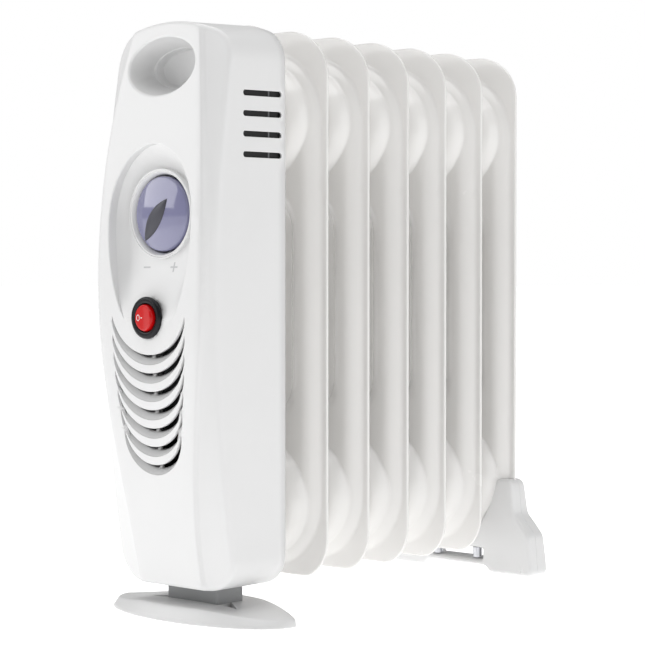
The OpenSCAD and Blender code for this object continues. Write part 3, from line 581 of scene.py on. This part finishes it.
def louvre_arcs(i):
    """The lower and the upper arc of a smile-shaped louvre, each from its left-hand to its right-hand end."""
    hw, tip = 32.6 - 0.2 * i * i, rocker_z - 2.4 - LOUVRE_PITCH * i
    arcs = []
    for half, rise, sag in ((hw, 0.0, 26.6), (hw - 0.3, 3.4, 23.8)):
        r = (half ** 2 + sag ** 2) / (2 * sag)
        a = math.degrees(math.atan2(half, r - sag))
        arcs.append(arc(0, tip + rise - sag + r, r, r, -90 - a, a - 90, 57))
    return arcs


def louvre_parts(i):
    """A louvre: a small lip, a ramp that climbs inwards from the lower arc, a wall under the upper arc.

    The ramp ends four fifths of the way across, which leaves a slit that a rib parts in the middle.
    """
    lower, upper = louvre_arcs(i)
    loop = np.concatenate([lower, upper[::-1]])
    lip = rolled_lip(loop, 0.25)
    n = len(lower)
    level = lip[-1][:n, 1]
    toward = upper - lower
    ramp = [lift(lower + share * toward, level + depth)
            for share, depth in ((0, 0), (0.12, 0.75), (0.35, 2.0), (0.55, 3.1), (0.72, 4.2))]
    rib = slice(n // 2 - 1, n // 2 + 2)
    bridge = [ring[rib] for ring in (ramp[-1], lift(lower + toward, level + 4.4))]
    wall = np.concatenate([lip[-1][n - 1:], lip[-1][:1]])
    walls = [wall + (0, depth, 0) for depth in (0, 1.0, 2.0)]
    return lip, [rings_part(lip), rings_part(ramp, False), rings_part(bridge, False), rings_part(walls, False)]


def pocket_rings():
    """The handle pocket: a soft lip, a wall that closes in, mostly from above and below, then a flat floor."""
    loop = arc(0, POCKET_Z, POCKET_RX, POCKET_RZ, 0, 360, 73)[:-1]
    level = face_y(loop[:, 0], loop[:, 1])
    rings = rolled_lip(loop, 1.5)
    floor = float(crest(POCKET_Z)) + POCKET_DEPTH
    start, ledge = level + 1.5, floor - 7
    for t in np.linspace(0, 1, 8)[1:]:
        shrink = (1 - 0.03 * t, 1 - 0.27 * t ** 1.4)
        rings.append(lift((loop - (0, POCKET_Z)) * shrink + (0, POCKET_Z), start + t * (ledge - start)))
    for share, y in (((0.962, 0.722), ledge + 0.5), ((0.93, 0.70), ledge + 0.8), ((0.915, 0.69), ledge + 1.4),
                     ((0.905, 0.68), floor - 1.5), ((0.89, 0.665), floor - 0.4), ((0.86, 0.64), floor),
                     ((0.4, 0.3), floor), ((0.0, 0.0), floor)):
        rings.append(lift((loop - (0, POCKET_Z)) * share + (0, POCKET_Z), y))
    return rings


def vent_loop(y_mid, z, length=34.0, height=3.6):
    """A stadium-shaped side vent, as depth and height."""
    r = height / 2
    return np.concatenate([arc(y_mid + length / 2 - r, z, r, r, -90, 90, 12),
                           arc(y_mid - length / 2 + r, z, r, r, 90, 270, 12)])


def build_front():
    """The front skin, its lips, dish, louvres, pocket, rounded corner edge and side band."""
    parts = []
    egg = dish_arc()
    depth = dish_depth(egg[:, 1])
    lip = rolled_lip(egg, np.minimum(0.9, 0.45 * depth))
    lip.append(lift(egg, dish_y(egg[:, 0], egg[:, 1])))
    parts.append(rings_part(lip, wrap=False))

    seam_a = math.degrees(math.asin((rocker_z - DISH_START) / SWITCH_HOLE_R))
    under = arc(0, rocker_z, SWITCH_HOLE_R, SWITCH_HOLE_R, 180 + seam_a, 360 - seam_a, 24)
    over = arc(0, rocker_z, SWITCH_HOLE_R, SWITCH_HOLE_R, 180 + seam_a, -seam_a, 32)
    dish_hole = np.concatenate([flat(lip[0]), under])
    pocket = pocket_rings()
    louvres = [louvre_parts(i) for i in range(LOUVRES)]
    parts += [rings_part(pocket)] + [part for _, group in louvres for part in group]

    loop = housing_loop(CORNER_R)
    holes = [dish_hole, flat(pocket[0])] + [flat(lip[0]) for lip, _ in louvres]
    z = np.arange(base_z + 2, top_z - 1, 2.5)
    crease = [np.stack([side * (crease_x(z) + t), z], 1)
              for side in (1, -1) for t in (-0.6, 0.3, 1.2, 2.1, 3.0)]
    points, faces = fill(loop, holes, field(loop, holes, 3.2, np.concatenate(crease)))
    parts.insert(0, (np.stack([points[:, 0], face_y(*points.T), points[:, 1]], 1), faces))

    collar_hole = arc(0, dial_z, COLLAR_HOLE_R, COLLAR_HOLE_R, 0, 360, 61)[:-1]
    dish_edge = np.concatenate([egg, over])
    points, faces = fill(dish_edge, [collar_hole], field(dish_edge, [collar_hole], 2.2))
    parts.insert(1, (np.stack([points[:, 0], dish_y(*points.T), points[:, 1]], 1), faces))

    rings = []
    outline = housing_loop(0)
    corner_level = face_y(outline[:, 0], outline[:, 1])
    for t in np.linspace(0, 1, 7):
        ring = (1 - t) ** 2 * loop + 2 * t * (1 - t) * outline + t ** 2 * outline
        level = ((1 - t) ** 2 * face_y(*loop.T) + 2 * t * (1 - t) * corner_level
                 + t ** 2 * (corner_level + CORNER_R))
        rings.append(lift(ring, level))
    parts.append(rings_part(rings))
    parts += side_band(rings[-1])
    parts = [(settled(points), faces) for points, faces in parts]
    piece("housing_shell", parts, FINISHES["white_plastic"],
          stands_for=["front_cover"], sharp=38, front=(0, -1, 0), wall=WALL,
          plain=(0, 1, len(parts) - 1))


def settled(points):
    """Lowers the front of the top: the housing's crown falls by a few millimetres from its rim to its face."""
    up = np.clip((points[:, 2] - mid_z) / half_h, 0, 1)
    forward = np.clip((rim_y - points[:, 1]) / 48, 0, 1)
    return points - np.stack([0 * up, 0 * up, 2.4 * up ** 2 * forward], 1)


def side_band(front_ring):
    """The housing's sides as one unrolled strip with the vents cut in it, from the corner edge to the rim."""
    ring = np.concatenate([front_ring, front_ring[:1]])
    run = np.concatenate([[0], np.cumsum(np.hypot(*np.diff(flat(ring), axis=0).T))])
    rim = np.full(len(run), rim_y)
    loop = np.concatenate([np.stack([run, ring[:, 1]], 1), np.stack([run, rim], 1)[::-1]])
    rows = [np.stack([run, ring[:, 1] + t * (rim - ring[:, 1])], 1)[1:-1] for t in np.linspace(0, 1, 8)[1:-1]]
    right, left = ring[:, 0] > half_w - 0.01, ring[:, 0] < 0.01 - half_w
    vents, parts = [], []
    for k in range(VENTS):
        outline = vent_loop(VENT_MID_Y, VENT_TOP - VENT_PITCH * k)
        for flank, side in ((right, 1), (left, -1)):
            order = np.argsort(ring[flank, 2])
            normal = outward(outline)
            lips = [np.stack([np.full(len(outline), side * (half_w - VENT_LIP * (1 - math.cos(a)))),
                              *(outline + VENT_LIP * normal * (1 - math.sin(a))).T], 1)
                    for a in np.radians(np.linspace(0, 90, 5))]
            lips.append(lips[-1] - (side * 2 * VENT_LIP, 0, 0))
            parts.append(rings_part(lips))
            edge = outline + VENT_LIP * normal
            spot = np.interp(edge[:, 1], ring[flank, 2][order], run[flank][order])
            vents.append(np.stack([spot, edge[:, 0]], 1))
    inner = np.concatenate(rows)
    for vent in vents:
        inner = inner[~inside(vent, inner)]
    points, faces = fill(loop, vents, spaced(inner, vents, 1.2))
    x = np.interp(points[:, 0], run, ring[:, 0])
    z = np.interp(points[:, 0], run, ring[:, 2])
    parts.append((np.stack([x, points[:, 1], z], 1), faces))
    return parts


build_front()


def build_vent_shade_sheet():
    """A black sheet behind each row of side vents, painted shade that stands for the dark inside, bowed
    slightly inwards.
    """
    y, z = np.meshgrid(np.linspace(rim_y - 39, rim_y - 1.5, 13), np.linspace(SHADE_SHEET_LOW_Z, SHADE_SHEET_HIGH_Z, 19))
    t = (y - VENT_MID_Y) / 19
    for name, side in (("painted_shade_right", 1), ("painted_shade_left", -1)):
        x = side * (half_w - WALL - 0.6 - 0.8 * (1 - t ** 2))
        piece(name, [rings_part(np.stack([x, y, z], -1), wrap=False)], FINISHES["black_rubber"],
              front=(side, 0, 0), wall=0.4)


build_vent_shade_sheet()


def build_collar():
    """The dial's collar: a thin double lip, a funnel that falls to the knob and a deep bore."""
    bore, back = knob_r + 1, ring_y + 14.3
    profile = np.concatenate([
        [[ring_r, back], [ring_r, ring_y + 6]],
        corner(ring_r, ring_y + 1.2, ring_r, ring_y, ring_r - 0.7, ring_y),
        corner(ring_r - 0.9, ring_y + 0.05, ring_r - 1.2, ring_y + 0.7, ring_r - 1.5, ring_y + 0.75),
        corner(ring_r - 1.6, ring_y + 0.7, ring_r - 1.9, ring_y + 0.4, ring_r - 2.2, ring_y + 0.7),
        corner(bore + 0.6, ring_y + 3.0, bore, ring_y + 3.6, bore, ring_y + 4.8),
        [[bore, ring_y + 8], [bore, back], [ring_r, back]]])
    piece("dial_collar", [turned(profile, 0, dial_z, 128)], FINISHES["white_plastic"],
          stands_for=["dial_ring"], sharp=50)


build_collar()


# ---------- knob ----------

def knob_face(r):
    """Depth of the knob's domed face against radius."""
    skirt = ring_y + 1.5
    rise = skirt - knob_low[1]
    dome_r = (knob_r ** 2 + rise ** 2) / (2 * rise)
    return knob_low[1] + dome_r - np.sqrt(dome_r ** 2 - r ** 2)


def build_knob():
    """The knob: a shallow dome that rolls over into a straight skirt, and is hollow behind."""
    rim = knob_face(knob_r)
    r = np.linspace(0, knob_r - 1.4, 16)
    profile = np.concatenate([
        np.stack([r, knob_face(r)], 1),
        corner(knob_r - 1.4, knob_face(knob_r - 1.4), knob_r - 0.2, rim - 0.1, knob_r, rim + 1.6),
        [[knob_r, rim + 6], [knob_r, knob_high[1]], [knob_r - 2, knob_high[1]], [knob_r - 2, rim + 2.2],
         [5.6, rim + 2.2], [5.6, knob_high[1]], [3.05, knob_high[1]], [3.05, rim + 2.0], [0, rim + 2.0]]])
    piece("knob_cap", [turned(profile, 0, dial_z, 128)], FINISHES["knob_plastic"],
          body="knob", stands_for=["control_knob"], sharp=35)


def build_grip():
    """The grip: a lens in plan that starts at the knob's rim, crowned across and along."""
    half_len, half_w_grip, proud = (knob_r + 10.3) / 2, 5.4, 1.2
    s = np.sin(np.linspace(-np.pi / 2, np.pi / 2, 49))[:, None]
    t = np.sin(np.linspace(-np.pi / 2, np.pi / 2, 21))[None]
    along = half_len * s + half_len - knob_r + 1.5 + 0 * t
    width = half_w_grip * (1 - s ** 2)
    across = width * t
    turn = math.radians(-40)
    x = across * math.cos(turn) - along * math.sin(turn)
    z = across * math.sin(turn) + along * math.cos(turn)
    top = knob_face(np.hypot(x, z)) - proud * (1 - t ** 2) ** 0.5 * (1 - s ** 4) ** 0.5
    base = knob_face(np.hypot(x, z)) + 0.4
    parts = [rings_part(np.stack([x, top, z + dial_z], -1), wrap=False),
             rings_part(np.stack([x, base, z + dial_z], -1), wrap=False)]
    for row in (0, -1):
        edge = np.stack([np.stack([x[:, row], top[:, row], z[:, row] + dial_z], 1),
                         np.stack([x[:, row], base[:, row], z[:, row] + dial_z], 1)])
        parts.append(rings_part(edge, wrap=False))
    piece("grip_blade", parts, FINISHES["grip_plastic"], body="knob",
          stands_for=["knob_grip"], sharp=45)


build_knob()
build_grip()


# ---------- rocker switch ----------

def build_bezel():
    """The switch housing: a crowned flange, a bore for the rocker and a tube behind the front."""
    back, bore = switch_high[1], 8.8
    profile = np.concatenate([
        [[0, back], [10.6, back], [10.6, crest_y + 0.02], [bezel_r, crest_y + 0.02]],
        corner(bezel_r, bezel_y + 1.5, bezel_r - 0.1, bezel_y + 0.2, bezel_r - 1.6, bezel_y + 0.05),
        corner(bore + 1.2, bezel_y + 0.1, bore + 0.1, bezel_y + 0.2, bore, bezel_y + 1.0),
        [[bore, bezel_y + 3], [bore, back - 3], [0, back - 3]]])
    piece("switch_bezel", [turned(profile, 0, rocker_z, 96)], FINISHES["black_plastic"],
          stands_for=["switch_body"], sharp=40)


PIVOT_Y = bezel_y + 1.4
HALF_TILT = math.radians(7)
ROCKER_R = 8.4


def tilted(points):
    """Turns rocker points about their pivot to the resting tilt, with the left-hand side pressed in."""
    c, s = math.cos(-HALF_TILT), math.sin(-HALF_TILT)
    x, y, z = points[..., 0], points[..., 1], points[..., 2]
    return np.stack([x * c - y * s, PIVOT_Y + x * s + y * c, rocker_z + z], -1)


def rocker_face(x):
    """The face before it is tilted: two flats that meet in a soft valley."""
    return -2.2 - (np.sqrt(x ** 2 + 0.5) - 0.7) * math.tan(HALF_TILT)


def build_rocker():
    """The rocker: a valley face, a rolled edge, ball-shaped sides and a flat back."""
    a = np.linspace(0, 2 * np.pi, 72, endpoint=False)
    rings = []
    for r in np.linspace(0, 7.4, 12):
        x, z = r * np.cos(a), r * np.sin(a)
        rings.append(np.stack([x, rocker_face(x), z], 1))
    x = 7.4 * np.cos(a)
    start = np.stack([x, rocker_face(x), 7.4 * np.sin(a)], 1)
    side = np.stack([8.15 * np.cos(a), np.full_like(a, -1.5), 8.15 * np.sin(a)], 1)
    knee = np.stack([8.05 * np.cos(a), rocker_face(x) * 0.98, 8.05 * np.sin(a)], 1)
    for t in np.linspace(0, 1, 6)[1:]:
        rings.append((1 - t) ** 2 * start + 2 * t * (1 - t) * knee + t ** 2 * side)
    for y in (0.0, 1.5, 3.0, 3.6):
        r = math.sqrt(ROCKER_R ** 2 - y ** 2)
        rings.append(np.stack([r * np.cos(a), np.full_like(a, y), r * np.sin(a)], 1))
    rings.append(np.stack([0 * a, np.full_like(a, 3.6), 0 * a], 1))
    points, faces = rings_part(rings)
    piece("rocker_lens", [(tilted(points), faces)], FINISHES["red_plastic"], body="rocker",
          stands_for=["switch_rocker"], sharp=50)


def build_marks():
    """The off ring and the on dash, thin prints that follow the rocker's face."""
    a = np.linspace(0, 2 * np.pi, 40, endpoint=False)
    b = np.linspace(0, 2 * np.pi, 8, endpoint=False)[:, None]
    x = -4.9 + (1.25 + 0.22 * np.cos(b)) * np.cos(a)
    z = (1.75 + 0.22 * np.cos(b)) * np.sin(a)
    ring = np.stack([x, rocker_face(x) - 0.12 * np.sin(b), z], -1)
    parts = [rings_part(np.concatenate([ring, ring[:1]]))]
    across = np.cos(b) * 0.3 + 0 * a[:9]
    dash_x = -2.0 + np.linspace(-0.7, 0.7, 9)[None] + 0 * b
    dash = np.stack([dash_x, rocker_face(dash_x) - 0.07 * np.sin(b), across], -1)
    dash[:, [0, -1]] = dash[:, [0, -1]].mean(0)
    parts.append(rings_part(np.concatenate([dash, dash[:1]]), wrap=False))
    parts = [(tilted(points), faces) for points, faces in parts]
    piece("rocker_marks", parts, white_mark, body="rocker", sharp=60)


def build_dial_marks():
    """A minus and a plus under the dial, thin prints that follow the dish."""
    low = dial_z - ring_r - 5
    bars = [(-12, low, 3.0, 0.5), (12, low, 3.0, 0.5), (12, low, 0.5, 3.0)]
    parts = []
    for x0, z0, hx, hz in bars:
        x, z = np.meshgrid(x0 + np.linspace(-hx, hx, 7), z0 + np.linspace(-hz, hz, 7))
        skin = np.stack([x, dish_y(x, z) - 0.1, z], -1)
        back = skin + (0, 0.4, 0)
        border = [np.concatenate([s[0], s[1:, -1], s[-1, -2::-1], s[-2:0:-1, 0]]) for s in (skin, back)]
        parts += [rings_part(skin, wrap=False), rings_part(back, wrap=False), rings_part(border)]
    piece("dial_marks", parts, grey_mark, sharp=60)


build_bezel()
build_rocker()
build_marks()
build_dial_marks()


# ---------- feet ----------

def rounded_slab(loop, y0, y1, r0, r1, holes=(), lean=None):
    """An outline in X and Z given depth from y0 to y1, with edges rounded by r0 and r1.

    lean moves points along Y by their height, so that a back can slope.
    """
    lean = lean or (lambda z: 0 * z)
    parts, caps = [], {0: [], 1: []}
    for k, ring in enumerate((loop, *holes)):
        normal = outward(ring)
        stack = []
        for a in np.radians(np.linspace(0, 90, 6)):
            stack.append((ring - normal * r0 * (1 - math.sin(a)), y0 + r0 * (1 - math.cos(a)), 0))
        for a in np.radians(np.linspace(90, 0, 6)):
            stack.append((ring - normal * r1 * (1 - math.sin(a)), y1 - r1 * (1 - math.cos(a)), 1))
        rings = [lift(p, y + (lean(p[:, 1]) if end else 0)) for p, y, end in stack]
        parts.append(rings_part(rings))
        caps[0].append(flat(rings[0]))
        caps[1].append(flat(rings[-1]))
    for end, y in ((0, y0), (1, y1)):
        outer, inner = caps[end][0], caps[end][1:]
        points, faces = fill(outer, inner, field(outer, inner, 5))
        level = y + (lean(points[:, 1]) if end else 0)
        parts.append((np.stack([points[:, 0], np.broadcast_to(level, len(points)), points[:, 1]], 1), faces))
    return parts


def resampled(corners, step=1.2, soft=4):
    """A loop through the corners at even spacing, smoothed a little so that its corners turn round."""
    closed = np.concatenate([corners, corners[:1]])
    run = np.concatenate([[0], np.cumsum(np.hypot(*np.diff(closed, axis=0).T))])
    at = np.linspace(0, run[-1], int(run[-1] / step), endpoint=False)
    loop = np.stack([np.interp(at, run, closed[:, 0]), np.interp(at, run, closed[:, 1])], 1)
    for _ in range(soft):
        loop = (np.roll(loop, 1, 0) + 2 * loop + np.roll(loop, -1, 0)) / 4
    return loop


def rear_foot_loop():
    """The rear foot seen along the heater: two splayed horns joined by a bridge over a thin bar."""
    w, h = horn_high[0], horn_high[2]
    right = np.array([[26, 5], [31, 0.3], [w - 1.5, 0.3], [w, 2.5], [w - 2, 29], [w - 8.5, 37.5],
                      [w - 14.3, 44], [w - 15.6, 58], [w - 16.4, h - 3.5], [w - 19, h - 0.4],
                      [w - 28, h], [w - 32, h - 2.5], [w - 35, 57], [w - 40, 43.5], [w - 45, 36.5],
                      [w - 52, 32.2], [0, 29.2]])
    return resampled(np.concatenate([right, right[-2::-1] * (-1, 1)]))


def build_rear_foot():
    """Two mouldings with soft edges that meet on the last fin; the rear one slopes in towards its top."""
    loop = rear_foot_loop()
    gap = resampled(np.array([[-24.5, 9.3], [24.5, 9.3], [24.5, 17.2], [-24.5, 17.2]]), 1.2, 1)
    joint = fin_y[6] + 1.0
    front = rounded_slab(loop, horn_low[1], joint - 0.15, 2.6, 0.3, holes=[gap[::-1]])
    piece("rear_foot_shell", front, FINISHES["white_plastic"],
          stands_for=["rear_foot_front"], sharp=45)
    depth = back_high[1]
    back = rounded_slab(loop, joint, depth, 0.3, 3.2, holes=[gap[::-1]],
                        lean=lambda z: -np.clip(z - 10, 0, None) * 0.095)
    piece("rear_foot_cover", back, FINISHES["white_plastic"],
          stands_for=["rear_foot_back"], sharp=45)


FOOT_TIP_Z, FOOT_LEVEL_HW, FOOT_SLOT_FLOOR = 5.4, 20.0, 3.5


def foot_height(x):
    """Height of the front foot's top: level in the middle, falling to its tips."""
    fall = ease((np.abs(x) - FOOT_LEVEL_HW) / (foot_high[0] - FOOT_LEVEL_HW))
    return FOOT_TIP_Z + (foot_high[2] - FOOT_TIP_Z) * (1 - fall)


def build_front_foot():
    """The leaf-shaped foot: a bevelled front wall up to a ridge, and a top that falls to the tips."""
    tip, y_front, y_back = foot_high[0], foot_low[1], foot_high[1]
    y_tip = y_front + 40
    a = np.linspace(0, np.pi, 81)
    front = np.stack([tip * np.cos(a), y_tip - (y_tip - y_front) * np.sin(a) ** 0.9], 1)
    rear_a = np.linspace(np.pi, 0, 81)[1:-1]
    rear = np.stack([tip * np.cos(rear_a), y_tip + (y_back - y_tip) * np.sin(rear_a) ** 1.7], 1)
    loop = np.concatenate([front, rear])[::-1]
    normal = outward(loop)
    facing_front = np.clip(-normal[:, 1], 0, 1)[:, None]
    inset = 0.6 + 3.6 * facing_front
    height = foot_height(loop[:, 0])
    rings = []
    for share, rise in ((1.6, 0.0), (0.4, 0.0), (0.1, 0.25), (0.0, 0.8)):
        rings.append(np.column_stack([loop - normal * share, np.full(len(loop), rise)]))
    for t in (0.35, 0.7, 0.9):
        rings.append(np.column_stack([loop - normal * inset * t, 0.8 + (height - 1.5) * t]))
    for t in (0.0, 0.4, 1.0):
        ring = loop - normal * (inset + 0.5 + 0.9 * t)
        rings.append(np.column_stack([ring, foot_height(ring[:, 0]) - 0.35 * (1 - t) ** 2]))
    parts = [rings_part(rings)]
    slots = []
    y_mid = (pedestal_low[1] + pedestal_high[1]) / 2
    for side in (1, -1):
        slot = np.array([[22.0, y_mid - 10], [38.5, y_mid - 10.5], [22.0, y_mid + 1]]) * (side, 1)
        slot = resampled(slot if side > 0 else slot[::-1], 1.0, 1)
        slots.append(slot)
        level = foot_height(slot[:, 0])
        stack = [np.column_stack([slot, level]), np.column_stack([slot, level - 0.5]),
                 np.column_stack([slot, np.full(len(slot), FOOT_SLOT_FLOOR)])]
        parts.append(rings_part(stack))
        points, faces = fill(slot)
        parts.append((np.column_stack([points, np.full(len(points), FOOT_SLOT_FLOOR)]), faces))
    top = rings[-1][:, :2]
    points, faces = fill(top, slots, field(top, slots, 3))
    parts.append((np.column_stack([points, foot_height(points[:, 0])]), faces))
    base = rings[0][:, :2]
    points, faces = fill(base)
    parts.append((np.column_stack([points, np.zeros(len(points))]), faces))
    piece("front_foot_leaf", parts, FINISHES["white_plastic"],
          stands_for=["front_foot"], sharp=50)


def build_pedestal():
    """The block under the housing: hollowed slightly on its front face, with soft upright corners."""
    hx, y0, y1 = pedestal_high[0], pedestal_low[1], pedestal_high[1]
    x = np.linspace(-hx, hx, 31)
    front = np.stack([x, y0 + 1.1 * np.cos(np.pi * x / (2 * hx))], 1)
    rear = np.stack([x[::-1], np.full(31, y1)], 1)
    loop = resampled(np.concatenate([front, rear]), 1.0, 2)
    z0, z1 = pedestal_low[2], pedestal_high[2]
    rings = [np.column_stack([loop, np.full(len(loop), z)])
             for z in (z0, z0 + 0.4, z0 + 3.5, z1 - 3.5, z1 - 0.4, z1)]
    parts = [rings_part(rings)]
    for z in (z0, z1):
        points, faces = fill(loop)
        parts.append((np.column_stack([points, np.full(len(points), z)]), faces))
    piece("pedestal_block", parts, FINISHES["grey_plastic"],
          stands_for=["foot_pedestal"], sharp=50)


build_rear_foot()
build_front_foot()
build_pedestal()


# ---------- floor and light ----------

def build_floor():
    """A wide pale floor."""
    material = finish("studio_floor", (0.88, 0.88, 0.88), 0.6, grain=40, bump=0.01, tone=0.005,
                      Emission_Color=(1, 1, 1, 1), Emission_Strength=0.76)
    x, y = np.meshgrid(np.linspace(-60, 60, 9), np.linspace(-60, 60, 9))
    points = np.stack([x, y, 0 * x - 0.0002], -1).reshape(-1, 3)
    mesh = bpy.data.meshes.new("studio_floor")
    mesh.from_pydata(points.tolist(), [], grid_faces(9, 9).tolist())
    mesh.flip_normals()
    mesh.materials.append(material)
    floor = bpy.data.objects.new("studio_floor", mesh)
    bpy.context.scene.collection.objects.link(floor)


def area_light(name, place, target, size, power):
    """A soft rectangular light at a place, aimed at a target."""
    light = bpy.data.lights.new(name, "AREA")
    light.shape = "RECTANGLE"
    light.size, light.size_y = size
    light.energy = power
    lamp = bpy.data.objects.new(name, light)
    bpy.context.scene.collection.objects.link(lamp)
    lamp.location = place
    lamp.rotation_euler = (Vector(target) - Vector(place)).to_track_quat("-Z", "Y").to_euler()


def light_scene():
    """Soft surroundings, a large key from the front left, a fill along the side and a light from above."""
    world = bpy.data.worlds.new("studio")
    bpy.context.scene.world = world
    world.use_nodes = True
    nodes, links = world.node_tree.nodes, world.node_tree.links
    path = nodes.new("ShaderNodeLightPath")
    strength = nodes.new("ShaderNodeMapRange")
    strength.inputs["To Min"].default_value = 0.31
    strength.inputs["To Max"].default_value = 1.0
    links.new(path.outputs["Is Camera Ray"], strength.inputs["Value"])
    nodes["Background"].inputs["Color"].default_value = (1, 1, 1, 1)
    links.new(strength.outputs["Result"], nodes["Background"].inputs["Strength"])
    area_light("key", (-1.25, -1.30, 0.95), (0, -0.1, 0.2), (1.3, 1.1), 9.5)
    area_light("side_fill", (1.6, 0.35, 0.55), (0, 0, 0.2), (1.0, 1.0), 3)
    area_light("overhead", (0.0, 0.0, 2.2), (0, 0, 0), (2.4, 2.4), 34)
    view = bpy.context.scene.view_settings
    view.view_transform = "Standard"
    view.look = "None"


build_floor()
light_scene()
